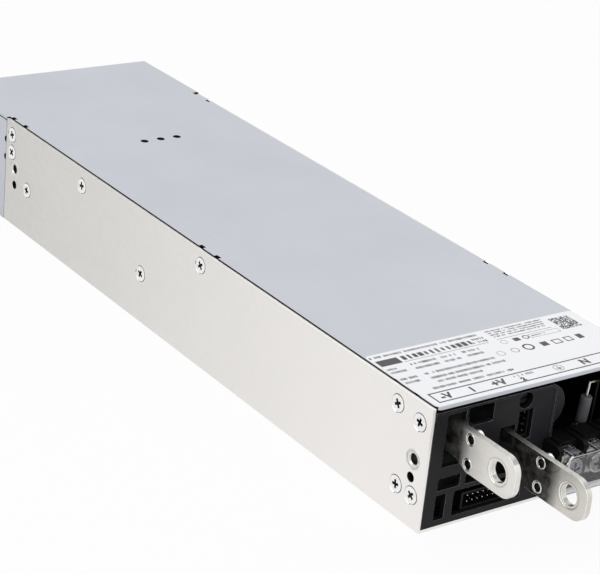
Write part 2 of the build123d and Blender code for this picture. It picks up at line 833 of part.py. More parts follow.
def make_contacts():
    face = front + block_face_reach
    solids = []
    for i in range(pole_count):
        y = (pole_centre(i) - contact_width / 2, pole_centre(i) + contact_width / 2)
        z = (screw4_height - contact_height / 2, screw4_height + contact_height / 2)
        plate = block((face - contact_thickness, face), y, z)
        hole = (face - 2 * contact_thickness, face + 1)
        solids.append(plate - rod_x(hole, pole_centre(i), screw4_height, screw4_radius + screw4_play))
    return solids


def make_clamp(i):
    face = front + block_face_reach
    y = (pole_centre(i) - clamp_size / 2, pole_centre(i) + clamp_size / 2)
    z = (screw4_height - clamp_size / 2, screw4_height + clamp_size / 2)
    plate = block((face + clamp_gap, face + clamp_gap + clamp_thickness), y, z)
    hole = (face - 1, face + 2 * clamp_thickness)
    return plate - rod_x(hole, pole_centre(i), screw4_height, screw4_radius + screw4_play)


def make_terminal_screw(i):
    seat = front + block_face_reach + clamp_gap + clamp_thickness + screw4_seat_gap
    y = pole_centre(i)
    head = rod_x((seat, seat + screw4_head_height), y, screw4_height, screw4_head_radius)
    head = fillet(head.edges().group_by(Axis.X)[-1], screw4_head_height / 3)
    shank = rod_x((seat + screw4_head_height - screw4_length, seat), y, screw4_height, screw4_radius)
    slot = Box(2 * recess_depth, screw4_slot_length, screw4_slot_width)
    top = Pos(seat + screw4_head_height, y, screw4_height)
    return head + shank - top * slot - top * Rot(90, 0, 0) * slot


def make_terminal_cover():
    plate_back = front + cover_plate_reach - cover_plate_thickness
    plate_x = (plate_back, front + cover_plate_reach)
    y = (block_sides()[0] + cover_side_gap, block_sides()[1] - cover_side_gap)
    shape = block(plate_x, y, (cover_plate_bottom, cover_plate_top))
    shape = fillet(shape.edges().filter_by(Axis.X).group_by(Axis.Z)[-1], cover_plate_corner)
    for i in range(pole_count):
        start = barrier_span(i)[1] + cover_side_gap
        span = (start, start + barrel_length)
        barrel = rod_y(front + hinge_reach, span, hinge_height, hinge_barrel_radius)
        arm_z = (hinge_height + hinge_barrel_radius - arm_thickness, hinge_height + hinge_barrel_radius)
        arm = block((front + hinge_reach, plate_back + cover_plate_thickness / 2), span, arm_z)
        stub = (barrier_centre(i) + hinge_play, start + 1)
        pin = rod_y(front + hinge_reach, stub, hinge_height, hinge_pin_radius)
        shape = shape + barrel + arm + pin
    return shape


# Fans
def fan_front():
    return rear + cover_sheet + sheet_gap


def fan_back():
    return fan_front() + fan_depth


def fan_tube_radius():
    return bearing_radius + bearing_tube_wall


def hub_front():
    return fan_front() + hub_inset


def hub_back():
    return fan_back() - motor_plate - hub_back_gap


def fan_tube_front():
    return hub_front() + hub_cap + tube_front_gap


def make_fan_frame(y, z):
    half = fan_size / 2
    x = (fan_front(), fan_back())
    shape = block(x, (y - half, y + half), (z - half, z + half))
    shape = fillet(shape.edges().filter_by(Axis.X), fan_corner_radius)
    shape = shape - rod_x((x[0] - 1, x[1] + 1), y, z, fan_bore_radius)
    for i in range(4):
        angle = 45 + 90 * i
        strut = Box(motor_plate, motor_strut_width, fan_bore_radius + strut_overlap, align=base_align)
        shape = shape + Pos(x[1] - motor_plate / 2, y, z) * Rot(angle, 0, 0) * strut
    plate = rod_x((x[1] - motor_plate, x[1]), y, z, hub_radius)
    tube = rod_x((fan_tube_front(), x[1]), y, z, fan_tube_radius())
    bore = rod_x((fan_tube_front() - 1, x[1] - motor_plate / 2), y, z, bearing_radius)
    shape = shape + plate + tube - bore
    for a in (-1, 1):
        for b in (-1, 1):
            corner = (y + a * fan_hole_pitch / 2, z + b * fan_hole_pitch / 2)
            shape = shape - rod_x((x[0] - 1, x[1] + 1), corner[0], corner[1], fan_hole_radius)
            shape = shape - on_rear(corner[0], corner[1]) * flat_screw_space(fan_screw_length)
    return shape


def fan_blade(y, z, angle):
    rise = blade_camber
    half = blade_chord / 2
    edge = ThreePointArc((-half, 0), (0, rise), (half, 0))
    back = ThreePointArc((half, blade_thickness), (0, rise + blade_thickness), (-half, blade_thickness))
    ends = Line((half, 0), (half, blade_thickness)) + Line((-half, blade_thickness), (-half, 0))
    section = make_face(edge + back + ends)
    root = hub_radius - hub_wall / 2
    blade = Pos(0, 0, root) * extrude(section, fan_bore_radius - root)
    middle = (hub_front() + hub_back()) / 2
    return Pos(middle, y, z) * Rot(angle, 0, 0) * Rot(0, 0, blade_pitch_angle) * blade


def make_fan_rotor(y, z):
    x = (hub_front(), hub_back())
    hub = rod_x(x, y, z, hub_radius) - rod_x((x[0] + hub_cap, x[1] + 1), y, z, hub_radius - hub_wall)
    hub = hub + rod_x((x[0], x[0] + hub_cap + hub_boss_length), y, z, shaft_radius + hub_boss_wall)
    hub = fillet(hub.edges().group_by(Axis.X)[0], hub_cap / 2)
    blades = None
    for i in range(blade_count):
        blade = fan_blade(y, z, 360 * i / blade_count)
        blades = blade if blades is None else blades + blade
    sweep = rod_x((x[0] + blade_front_gap, x[1]), y, z, fan_bore_radius - blade_tip_gap)
    sweep = sweep - rod_x((x[0] - 1, x[1] + 1), y, z, hub_radius - hub_wall / 2)
    shape = hub + (blades & sweep)
    return shape - rod_x((x[0] + hub_cap / 2, x[1] + 1), y, z, shaft_radius)


def make_fan_shaft(y, z):
    ends = (hub_front() + hub_cap / 2, fan_back() - motor_plate / 2 - shaft_end_gap)
    return rod_x(ends, y, z, shaft_radius)


def make_fan_bearings(y, z):
    back = fan_back() - motor_plate / 2
    starts = (fan_tube_front() + bearing_end_gap, back - bearing_length - bearing_spacing_gap)
    solids = []
    for start in starts:
        span = (start, start + bearing_length)
        bore = rod_x((span[0] - 1, span[1] + 1), y, z, shaft_radius + shaft_play)
        solids.append(rod_x(span, y, z, bearing_radius) - bore)
    return solids


def make_fan_stator(y, z):
    radius = hub_radius - hub_wall - stator_gap
    end = fan_back() - motor_plate - stator_back_gap
    span = (end - stator_length, end)
    shape = rod_x(span, y, z, radius) - rod_x((span[0] - 1, span[1] + 1), y, z, fan_tube_radius())
    for i in range(4):
        groove = Box(stator_length + 2, stator_slot_width, radius, align=base_align)
        offset = fan_tube_radius() + stator_slot_floor
        place = Pos((span[0] + span[1]) / 2, y, z) * Rot(90 * i, 0, 0) * Pos(0, 0, offset)
        shape = shape - place * groove
    return shape


# Parts on the circuit board
def heatsink(span, side):
    x = (rear + span[0], rear + span[1])
    base = block(x, mirrored(lip_inside - heatsink_base, lip_inside, side), (heatsink_foot, heatsink_top))
    shape = base
    for z in (heatsink_foot, heatsink_top - fin_thickness):
        fin_y = mirrored(lip_inside - heatsink_base - fin_height, lip_inside - heatsink_base / 2, side)
        shape = shape + block(x, fin_y, (z, z + fin_thickness))
    pad_y = mirrored(lip_inside - heatsink_base / 2, lip_outside, side)
    foot_y = mirrored(lip_inside - heatsink_base, lip_inside, side)
    for end in (x[0], x[1] - heatsink_leg):
        shape = shape + block((end, end + heatsink_leg), foot_y, (parts_floor, heatsink_foot + fin_thickness))
    return shape + block(x, pad_y, (heatsink_foot, heatsink_top))


def make_left_heatsink():
    shape = heatsink(left_heatsink, -1)
    x = (rear + left_heatsink_tab[0], rear + left_heatsink_tab[1])
    tab_y = mirrored(lip_inside - heatsink_base, lip_outside, -1)
    return cut_wall_screws(shape + block(x, tab_y, (heatsink_top - fin_thickness, left_heatsink_tab_top)))


def make_right_heatsink():
    return cut_wall_screws(heatsink(right_heatsink, 1))


def package(from_rear, side, length):
    face = lip_inside - heatsink_base
    z = (heatsink_foot + fin_thickness + package_gap, heatsink_top - fin_thickness - package_gap)
    y = mirrored(face - package_depth, face, side)
    x = (rear + from_rear - length / 2, rear + from_rear + length / 2)
    return block(x, y, z)


def can_x(x, y, z, radius):
    can = rod_x(x, y, z, radius)
    return fillet(can.edges(), radius * can_edge_share)


def make_bulk_capacitors():
    z = parts_floor + bulk_radius
    return [can_x((rear + x, rear + x + bulk_length), bulk_side, z, bulk_radius) for x in bulk_places]


def make_output_capacitors():
    solids = []
    for from_rear in output_can_places:
        for y in output_can_rows:
            can = rod_z(rear + from_rear, y, (parts_floor, output_can_top), output_can_radius)
            solids.append(fillet(can.edges(), output_can_radius * can_edge_share))
    return solids


def make_lying_capacitor():
    end = front - lying_can_from_front
    start = end - lying_can_length
    can = can_x((start, end), lying_can_side, lying_can_middle, lying_can_radius)
    shape = can
    for side in (-1, 1):
        y = lying_can_side + side * lying_can_lead_spacing / 2
        across = rod_x((start - lying_can_lead_reach, start + 1), y, lying_can_middle, lead_radius)
        lead_x = start - lying_can_lead_reach + lead_radius
        down = rod_z(lead_x, y, (parts_floor, lying_can_middle + lead_radius), lead_radius)
        shape = shape + across + down
    return shape


def core_box(grow):
    x = rear + core_middle_from_rear
    return block((x - core_length / 2 - grow, x + core_length / 2 + grow),
                 (core_side - core_width / 2 - grow, core_side + core_width / 2 + grow),
                 (parts_floor, parts_floor + core_height))


def make_transformer_core():
    shape = core_box(0)
    x = rear + core_middle_from_rear
    leg = core_leg / 2
    for side in (-1, 1):
        gap_x = sorted((x + side * leg, x + side * (core_length / 2 - leg)))
        window = block(gap_x, (core_side - core_width, core_side + core_width),
                       (parts_floor + leg, parts_floor + core_height - leg))
        shape = shape - window
    return shape


def make_transformer_winding():
    x = rear + core_middle_from_rear
    leg = core_leg / 2
    outer_x = core_length / 2 - leg - winding_clearance
    z = (parts_floor + leg + winding_clearance, parts_floor + core_height - leg - winding_clearance)
    inner_y = core_width / 2 + winding_clearance
    outer = block((x - outer_x, x + outer_x), (core_side - inner_y - leg, core_side + inner_y + leg), z)
    inner_x = leg + winding_clearance
    return outer - block((x - inner_x, x + inner_x), (core_side - inner_y, core_side + inner_y), z)


def ring(x, y, radius, hole, height):
    span = (parts_floor, parts_floor + height)
    shape = rod_z(x, y, span, radius) - rod_z(x, y, (0, case_height), hole)
    return fillet(shape.edges(), (radius - hole) * 0.2)


def make_storage_inductors():
    return [ring(rear + x, y, toroid_radius, toroid_hole, toroid_height) for x, y in toroid_places]


def make_filter_chokes():
    return [ring(rear + x, y, choke_radius, choke_hole, choke_height) for x, y in choke_places]


def board_box(place, size):
    x = rear + place[0]
    y = place[1]
    return block((x - size[0] / 2, x + size[0] / 2), (y - size[1] / 2, y + size[1] / 2),
                 (parts_floor, parts_floor + size[2]))


def make_input_fuse():
    x = front - fuse_from_front
    y = fuse_side
    body = rod_z(x, y, fuse_body, fuse_radius)
    body = fillet(body.edges(), fuse_radius * 0.3)
    up = rod_z(x, y, (parts_floor, fuse_lead_top), lead_radius)
    across = rod_y(x, (y, y + fuse_lead_offset), fuse_lead_top - lead_radius, lead_radius)
    down = rod_z(x, y + fuse_lead_offset, (parts_floor, fuse_lead_top), lead_radius)
    return body + up + across + down


# Write every piece
def write_case():
    save("chassis", make_chassis())
    save("cover", make_cover())
    save("label", make_label())
    save_group("wall_screws", make_wall_screws())
    save_group("fan_screws", make_fan_screws())
    save_group("mounting_inserts", make_mounting_inserts())


def write_front():
    save("front_bezel", make_bezel())
    save("negative_blade", blade_solid(negative_left, negative_middle, negative_flange, negative_reach))
    save("positive_blade", blade_solid(positive_left, positive_middle, positive_flange, positive_reach))
    save_group("blade_nuts", make_blade_nuts())
    save("front_board", make_front_board())
    save("signal_header", make_signal_header())
    save_group("signal_header_pins", header_pins(signal_pin_places()))
    save("auxiliary_header", make_aux_header())
    save_group("auxiliary_header_pins", header_pins(aux_pin_places()))
    save("trimmer_body", make_trimmer_body())
    save("trimmer_rotor", make_trimmer_rotor())


def write_terminals():
    save("terminal_block", make_terminal_block())
    save_group("terminal_contacts", make_contacts())
    save("terminal_cover", make_terminal_cover())
    for i, pole in enumerate(("earth", "neutral", "line")):
        save(f"{pole}_clamp", make_clamp(i))
        save(f"{pole}_screw", make_terminal_screw(i))


def write_fans():
    for name, (y, z) in zip(("left", "right"), fan_centres()):
        save(f"fan_frame_{name}", make_fan_frame(y, z))
        save(f"fan_rotor_{name}", make_fan_rotor(y, z))
        save(f"fan_shaft_{name}", make_fan_shaft(y, z))
        save_group(f"fan_bearings_{name}", make_fan_bearings(y, z))
        save(f"fan_stator_{name}", make_fan_stator(y, z))


def write_electronics():
    save("main_board", make_main_board())
    save("insulating_film", make_film())
    save_group("standoffs", make_standoffs())
    save_group("board_screws", make_board_screws())
    save("left_heatsink", make_left_heatsink())
    save("right_heatsink", make_right_heatsink())
    save_group("left_transistors", [package(x, -1, package_width) for x in left_package_places])
    save("bridge_rectifier", package(bridge_place, -1, bridge_length))
    save_group("right_transistors", [package(x, 1, package_width) for x in right_package_places])
    save_group("bulk_capacitors", make_bulk_capacitors())
    save_group("output_capacitors", make_output_capacitors())
    save("lying_capacitor", make_lying_capacitor())
    save("transformer_core", make_transformer_core())
    save("transformer_winding", make_transformer_winding())
    save_group("storage_inductors", make_storage_inductors())
    save_group("filter_chokes", make_filter_chokes())
    save("film_capacitor", board_box(film_cap_place, film_cap_size))
    save("relay", board_box(relay_place, relay_size))
    save("input_fuse", make_input_fuse())
    save("control_board", board_box(control_board_place, control_board_size))


write_case()
write_front()
write_terminals()
write_fans()
write_electronics()
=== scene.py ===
import bpy
import bmesh
import json
import math
import random
from mathutils import Matrix, Vector

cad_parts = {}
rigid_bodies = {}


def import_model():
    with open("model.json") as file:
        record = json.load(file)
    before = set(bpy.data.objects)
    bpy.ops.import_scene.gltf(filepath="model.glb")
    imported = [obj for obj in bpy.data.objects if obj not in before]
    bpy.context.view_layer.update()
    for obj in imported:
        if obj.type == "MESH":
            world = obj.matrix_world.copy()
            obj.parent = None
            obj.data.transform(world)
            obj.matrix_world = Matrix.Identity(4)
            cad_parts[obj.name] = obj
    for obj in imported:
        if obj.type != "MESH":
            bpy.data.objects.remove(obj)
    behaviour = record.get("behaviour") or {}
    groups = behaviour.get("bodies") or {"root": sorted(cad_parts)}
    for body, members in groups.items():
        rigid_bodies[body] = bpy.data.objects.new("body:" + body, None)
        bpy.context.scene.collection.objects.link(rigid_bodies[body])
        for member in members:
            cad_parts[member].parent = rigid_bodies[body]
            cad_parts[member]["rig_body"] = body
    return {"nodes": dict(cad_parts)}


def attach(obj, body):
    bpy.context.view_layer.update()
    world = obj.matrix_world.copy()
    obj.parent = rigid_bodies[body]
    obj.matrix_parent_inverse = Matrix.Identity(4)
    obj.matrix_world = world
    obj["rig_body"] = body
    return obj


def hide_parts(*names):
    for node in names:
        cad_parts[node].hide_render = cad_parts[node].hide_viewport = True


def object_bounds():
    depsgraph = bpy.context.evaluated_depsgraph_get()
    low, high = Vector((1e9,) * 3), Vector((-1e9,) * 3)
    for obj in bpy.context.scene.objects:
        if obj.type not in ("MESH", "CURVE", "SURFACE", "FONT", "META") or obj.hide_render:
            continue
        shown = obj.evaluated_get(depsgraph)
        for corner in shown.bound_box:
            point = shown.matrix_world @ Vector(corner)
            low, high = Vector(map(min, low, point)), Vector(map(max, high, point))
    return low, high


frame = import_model()
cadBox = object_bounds()
mm = 0.001
half = {"length": round(-cadBox[0][0] / mm, 3), "width": round(cadBox[1][1] / mm, 3)}  # of the case
print("frame loaded,", len(frame["nodes"]), "nodes")


# small helpers
class wire:  # wraps a socket, so that sums and masks can be written as plain maths
    def __init__(self, tree, socket=None):
        self.tree = tree
        self.socket = socket

    def node(self, kind, settings=None, sockets=None, out=0):
        made = self.tree.nodes.new(kind)
        for key, value in (settings or {}).items():
            setattr(made, key, value)
        for key, value in (sockets or {}).items():
            if isinstance(value, wire):
                self.tree.links.new(value.socket, made.inputs[key])
            else:
                made.inputs[key].default_value = value
        return wire(self.tree, made.outputs[out] if len(made.outputs) else None)

    def pick(self, name):
        return wire(self.tree, self.socket.node.outputs[name])

    def calc(self, operation, first, second):
        return self.node("ShaderNodeMath", {"operation": operation}, {0: first, 1: second})

    def __add__(self, other):
        return self.calc("ADD", self, other)

    def __sub__(self, other):
        return self.calc("SUBTRACT", self, other)

    def __mul__(self, other):
        return self.calc("MULTIPLY", self, other)

    def __gt__(self, other):
        return self.calc("GREATER_THAN", self, other)

    def __lt__(self, other):
        return self.calc("LESS_THAN", self, other)

    def __rsub__(self, other):
        return self.calc("SUBTRACT", other, self)

    __radd__ = __add__
    __rmul__ = __mul__

    def span(self, low, high):  # 0 at low, 1 at high, held outside
        return self.node("ShaderNodeMapRange", {}, {"Value": self, "From Min": low, "From Max": high})

    def blend(self, first, second):  # first colour at 0, second at 1
        return self.node("ShaderNodeMix", {"data_type": "RGBA"}, {0: self, 6: first, 7: second}, 2)


def tint(red, green, blue):  # a screen colour as the shader wants it
    shades = [value / 255 for value in (red, green, blue)]
    return tuple(v / 12.92 if v < 0.04045 else ((v + 0.055) / 1.055) ** 2.4 for v in shades) + (1.0,)


def newPiece(name, mesh, body, stands=()):
    piece = bpy.data.objects.new(name, mesh)
    bpy.context.scene.collection.objects.link(piece)
    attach(piece, body)
    if stands:
        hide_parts(*stands)
    return piece


def settle(holder):  # the holder's mesh with its modifiers in it, and the holder gone
    graph = bpy.context.evaluated_depsgraph_get()
    made = bpy.data.meshes.new_from_object(holder.evaluated_get(graph), preserve_all_data_layers=True,
                                           depsgraph=graph)
    bpy.data.objects.remove(holder)
    return made


def holderFor(mesh):
    holder = bpy.data.objects.new("holder", mesh)
    bpy.context.scene.collection.objects.link(holder)
    return holder


def meshFrom(form, name):
    mesh = bpy.data.meshes.new(name)
    form.to_mesh(mesh)
    form.free()
    return mesh


def circle(form, x, y, radius, height, sides):  # corners in millimetres
    turns = [2 * math.pi * i / sides for i in range(sides)]
    return [form.verts.new(((x + radius * math.cos(t)) * mm, (y + radius * math.sin(t)) * mm, height * mm))
            for t in turns]


def bridge(form, upper, lower):  # a band of faces between two circles
    for i in range(len(upper)):
        j = (i + 1) % len(upper)
        form.faces.new((upper[i], lower[i], lower[j], upper[j]))


def newTree(name, inputs):
    tree = bpy.data.node_groups.new(name, "GeometryNodeTree")
    tree.interface.new_socket("Geometry", in_out="INPUT", socket_type="NodeSocketGeometry")
    for label, kind, value in inputs:
        made = tree.interface.new_socket(label, in_out="INPUT", socket_type="NodeSocket" + kind)
        if value is not None:
            made.default_value = value
    tree.interface.new_socket("Geometry", in_out="OUTPUT", socket_type="NodeSocketGeometry")
    return tree, wire(tree).node("NodeGroupInput")


def closeTree(last, material):
    whole = last.node("GeometryNodeRealizeInstances", {}, {0: last})
    done = last.node("GeometryNodeSetMaterial", {}, {"Geometry": whole, "Material": material})
    last.node("NodeGroupOutput", {}, {0: done})


def grow(tree, mesh, values):  # runs a tree on a mesh and returns the plain result
    holder = holderFor(mesh)
    modifier = holder.modifiers.new("tree", "NODES")
    modifier.node_group = tree
    for item in tree.interface.items_tree:
        if item.in_out == "INPUT" and item.name in values:
            modifier[item.identifier] = values[item.name]
    return settle(holder)


# materials
def begin(name):
    made = bpy.data.materials.new(name)
    made.use_nodes = True
    made.node_tree.nodes.clear()
    start = wire(made.node_tree)
    return made, start, start.node("ShaderNodeTexCoord", out="Object")


def close(made, start, colour, rough, metal=0.0, height=None, relief=0.02, steady=None):
    sockets = {"Base Color": colour, "Roughness": rough, "Metallic": metal}
    sockets.update(steady or {})
    if height is not None:
        bump = {"Strength": 0.6, "Distance": relief * mm, "Height": height}
        sockets["Normal"] = start.node("ShaderNodeBump", {}, bump)
    shader = start.node("ShaderNodeBsdfPrincipled", {}, sockets)
    start.node("ShaderNodeOutputMaterial", {}, {"Surface": shader})
    return made


def cloud(place, size, stretch=(1, 1, 1), detail=4.0, rough=0.55):  # size of its blotches in millimetres
    laid = place.node("ShaderNodeMapping", {}, {"Vector": place, "Scale": stretch})
    sockets = {"Vector": laid, "Scale": 1 / (size * mm), "Detail": detail, "Roughness": rough}
    return place.node("ShaderNodeTexNoise", {}, sockets)


def grains(place, size):  # one random shade for each crystal
    sockets = {"Vector": place, "Scale": 1 / (size * mm), "Randomness": 1.0}
    shade = place.node("ShaderNodeTexVoronoi", {}, sockets, "Color")
    return place.node("ShaderNodeSeparateColor", {}, {0: shade})


def sheetSteel(name, look):  # galvanised: soft crystals, rolling lines along the case, faint clouds, and painted light that brightens it towards the front
    made, start, place = begin(name)
    crystals = grains(place, look["crystal"])
    lines = cloud(place, look["line"], (0.02, 1, 1), 3.0)
    clouds = cloud(place, look["cloud"], (0.5, 1, 1))
    shade = crystals * look["crystalShare"] + lines * look["lineShare"] + clouds * look["cloudShare"]
    colour = shade.span(0.15, 0.85).blend(look["dark"], look["light"])
    # painted light: along the case the colour is blended towards the lighter front colour
    along = place.node("ShaderNodeSeparateXYZ", {}, {0: place})
    paintedFrontLight = along.span(look["from"] * mm, look["to"] * mm) * look["frontLightGain"]
    colour = paintedFrontLight.blend(colour, look["front"])
    rough = look["rough"] + clouds * 0.12 + crystals * 0.05
    return close(made, start, colour, rough, look["metal"], lines + crystals * 0.5, look["relief"])


def coatedSheet(name, look):  # painted before folding: even tone, very fine peel, a few soft rubs
    made, start, place = begin(name)
    fine = cloud(place, look["peel"])
    wide = cloud(place, look["cloud"])
    rubs = cloud(place, 4.0, (0.12, 1, 1), 2.0).span(0.62, 0.75)
    colour = wide.span(0.3, 0.7).blend(look["dark"], look["light"])
    colour = (rubs * look["rubShare"]).blend(colour, look["rub"])
    rough = look["rough"] + fine * 0.08 + rubs * 0.05
    return close(made, start, colour, rough, 0.0, fine, look["relief"], {"Specular IOR Level": 0.4})


def platedMetal(name, look):  # small turned or pressed parts
    made, start, place = begin(name)
    fine = cloud(place, look["grain"])
    stains = cloud(place, look["stain"]).span(0.5, 0.72)
    colour = fine.blend(look["dark"], look["light"])
    colour = (stains * look["stainShare"]).blend(colour, look["stainColour"])
    rough = look["rough"] + fine * 0.12 + stains * 0.1
    return close(made, start, colour, rough, 1.0, fine, look["relief"])


def tinPlate(name, look):  # blades: drawn lines along the bar, dull patches, a coined ring round the hole, and painted shade with a painted dark reflection of the bezel towards the root
    made, start, place = begin(name)
    lines = cloud(place, look["line"], (0.05, 1, 1), 3.0)
    patches = cloud(place, look["patch"], (0.6, 1, 1), 5.0, 0.62)
    specks = cloud(place, 0.8, (0.5, 1, 1), 2.0).span(0.66, 0.74)
    flat = place.node("ShaderNodeVectorMath", {"operation": "MULTIPLY"}, {0: place, 1: (1, 0, 1)})
    away = []
    for x, z in look["holes"]:
        there = {0: flat, 1: (x * mm, 0, z * mm)}
        away.append(place.node("ShaderNodeVectorMath", {"operation": "DISTANCE"}, there, "Value"))
    near = away[0].calc("MINIMUM", away[0], away[1])
    groove = near.span(3.9 * mm, 4.15 * mm) - near.span(4.3 * mm, 4.6 * mm)
    colour = (lines * 0.4 + patches * 0.6).span(0.3, 0.7).blend(look["dark"], look["light"])
    colour = (specks * 0.35 + groove * 0.35).blend(colour, look["mark"])
    along = place.node("ShaderNodeSeparateXYZ", {}, {0: place})
    # painted shade and dark reflection of the bezel: darker towards the blade's root, mottled
    rootShadeMottle = cloud(place, look["patch"] * 0.7, (0.8, 1, 1), 5.0, 0.7).span(0.36, 0.6)
    dull = (1 - along.span(look["rootShadeTo"][0] * mm, look["rootShadeTo"][1] * mm)) * look["rootShadeShare"]
    colour = (dull * (rootShadeMottle * 0.18 + 0.82)).blend(colour, look["dull"])
    rough = look["rough"] + patches * 0.16 + lines * 0.06
    height = lines * 0.25 + patches * 0.3 - groove
    return close(made, start, colour, rough, look["metal"], height, look["relief"])


def moulding(name, look):  # filled plastic with a spark-eroded skin
    made, start, place = begin(name)
    skin = cloud(place, look["skin"], detail=3.0)
    flow = cloud(place, look["flow"], (1, 0.5, 0.5))
    dust = cloud(place, 0.35, detail=1.0).span(0.68, 0.76)
    colour = flow.span(0.3, 0.7).blend(look["dark"], look["light"])
    colour = (dust * look["dustShare"]).blend(colour, look["dust"])
    rough = look["rough"] + skin * 0.15
    return close(made, start, colour, rough, 0.0, skin, look["relief"], {"Specular IOR Level": look["gloss"]})


def banded(name, look):  # wound wire: ridges a wire apart, each a little different
    made, start, place = begin(name)
    settings = {"wave_type": "BANDS", "bands_direction": look["across"], "wave_profile": "SIN"}
    sockets = {"Vector": place, "Scale": 0.314 / (look["wire"] * mm), "Distortion": 0.4, "Detail": 1.0}
    ridges = place.node("ShaderNodeTexWave", settings, sockets)
    each = cloud(place, look["wire"] * 3)
    colour = (ridges * 0.7 + each * 0.3).blend(look["dark"], look["light"])
    return close(made, start, colour, 0.28 + each * 0.15, look["metal"], ridges, look["wire"] * 200 * mm)


canMetal = (tint(150, 150, 152), tint(190, 190, 192))


def capacitorCan(name, look):  # shrink sleeve with a bare scored end
    made, start, place = begin(name)
    skin = cloud(place, 2.5)
    axis = place.node("ShaderNodeSeparateXYZ", {}, {0: place}, look["axis"])
    bare = axis > look["bareFrom"] * mm
    # past bareLeft the fuse's far leg keeps the sleeve's grey, a painted shade
    if "bareLeft" in look:
        bare = bare * (axis.pick("Y") < look["bareLeft"] * mm)
    colour = skin.blend(look["dark"], look["light"])
    metal = cloud(place, 0.4).blend(look.get("bareDark", canMetal[0]), look.get("bareLight", canMetal[1]))
    colour = bare.blend(colour, metal)
    rough = bare * 0.1 + skin * 0.1 + look["rough"]
    return close(made, start, colour, rough, bare, skin, 0.03, {"Specular IOR Level": look["gloss"]})


bladeHoles = ((167.8, 27.35), (177.0, 19.7))
# the front colour and its gain are painted light, brighter towards the front end of the walls
galvanised = sheetSteel("galvanisedSheet", {
    "crystal": 2.2, "line": 0.22, "cloud": 22.0, "crystalShare": 0.2, "lineShare": 0.38, "cloudShare": 0.42,
    "dark": tint(190, 189, 185), "light": tint(210, 208, 205), "front": tint(246, 243, 240), "frontLightGain": 0.8,
    "from": -150.0, "to": 120.0, "rough": 0.36, "metal": 0.85, "relief": 0.006})
# painted highlight: near-white on the chassis's bevelled edges
edgeHighlightSteel = platedMetal("steelEdgeHighlight", {
    "grain": 0.4, "stain": 5.0, "dark": tint(224, 224, 228), "light": tint(248, 248, 251),
    "stainColour": tint(196, 195, 198), "stainShare": 0.25, "rough": 0.3, "relief": 0.01})
# painted shade: dark grey on faces turned inside the chassis and cover, and on the cover's seam
insideShade = platedMetal("insideShade", {
    "grain": 0.4, "stain": 6.0, "dark": tint(44, 44, 46), "light": tint(66, 66, 68),
    "stainColour": tint(30, 30, 31), "stainShare": 0.4, "rough": 0.5, "relief": 0.01})
# painted shade: near-black in drive slots, nut bores, screw recesses and on the fuse's far leg
recessShade = platedMetal("recessShade", {
    "grain": 0.3, "stain": 1.0, "dark": tint(34, 34, 36), "light": tint(60, 59, 60),
    "stainColour": tint(18, 18, 19), "stainShare": 0.5, "rough": 0.4, "relief": 0.01})
coated = coatedSheet("coatedCover", {
    "peel": 0.35, "cloud": 40.0, "dark": tint(196, 200, 208), "light": tint(202, 206, 213),
    "rub": tint(209, 212, 217), "rubShare": 0.2, "rough": 0.42, "relief": 0.01})
# the cover's bevelled edges: a little darker than the top as painted shade, with more rubs
coatedEdge = coatedSheet("coatedEdge", {
    "peel": 0.35, "cloud": 12.0, "dark": tint(186, 189, 200), "light": tint(200, 203, 213),
    "rub": tint(222, 223, 229), "rubShare": 0.35, "rough": 0.34, "relief": 0.01})
zinc = platedMetal("zincPlate", {
    "grain": 0.25, "stain": 1.4, "dark": tint(228, 228, 228), "light": tint(252, 252, 251),
    "stainColour": tint(190, 188, 184), "stainShare": 0.3, "rough": 0.28, "relief": 0.01})
# painted shade: the blades' top faces darker than their sides
bladeTopShade = platedMetal("bladeTopPaintedShade", {
    "grain": 0.3, "stain": 2.0, "dark": tint(158, 156, 152), "light": tint(200, 198, 193),
    "stainColour": tint(118, 115, 110), "stainShare": 0.4, "rough": 0.34, "relief": 0.01})
# painted shade: darker nickel inside the mounting inserts' bores
boreNickelShade = platedMetal("boreNickelShade", {
    "grain": 0.3, "stain": 1.0, "dark": tint(112, 110, 107), "light": tint(150, 148, 144),
    "stainColour": tint(80, 78, 75), "stainShare": 0.4, "rough": 0.3, "relief": 0.01})
nickel = platedMetal("nickelPlate", {
    "grain": 0.3, "stain": 1.0, "dark": tint(178, 175, 168), "light": tint(226, 223, 216),
    "stainColour": tint(110, 106, 100), "stainShare": 0.4, "rough": 0.22, "relief": 0.015})
tin = tinPlate("tinPlate", {
    "line": 0.16, "patch": 5.0, "holes": bladeHoles, "dark": tint(222, 219, 213),
    "light": tint(240, 237, 232), "mark": tint(120, 117, 110), "rough": 0.26, "relief": 0.02, "metal": 0.35,
    "rootShadeTo": (151.0, 155.5), "rootShadeShare": 1.0, "dull": tint(44, 42, 43)})
# the positive blade: mostly dark towards its root, a painted reflection of the bezel and the other blade
tinRootShaded = tinPlate("tinPlateRootShaded", {
    "line": 0.16, "patch": 3.0, "holes": bladeHoles, "dark": tint(204, 201, 194),
    "light": tint(224, 221, 214), "mark": tint(112, 109, 103), "rough": 0.22, "relief": 0.025, "metal": 0.7,
    "rootShadeTo": (168.5, 173.0), "rootShadeShare": 0.98, "dull": tint(12, 11, 13)})
# painted highlight: near-white on the bevelled edges of blades, nuts and clamps
tinEdgeHighlight = platedMetal("tinEdgeHighlight", {
    "grain": 0.3, "stain": 2.0, "dark": tint(232, 231, 228), "light": tint(253, 253, 251),
    "stainColour": tint(176, 173, 167), "stainShare": 0.3, "rough": 0.18, "relief": 0.01})
bezelBlack = moulding("bezelBlack", {
    "skin": 0.18, "flow": 9.0, "dark": tint(20, 19, 22), "light": tint(29, 28, 31), "dust": tint(66, 64, 66),
    "dustShare": 0.2, "rough": 0.42, "relief": 0.02, "gloss": 0.14})
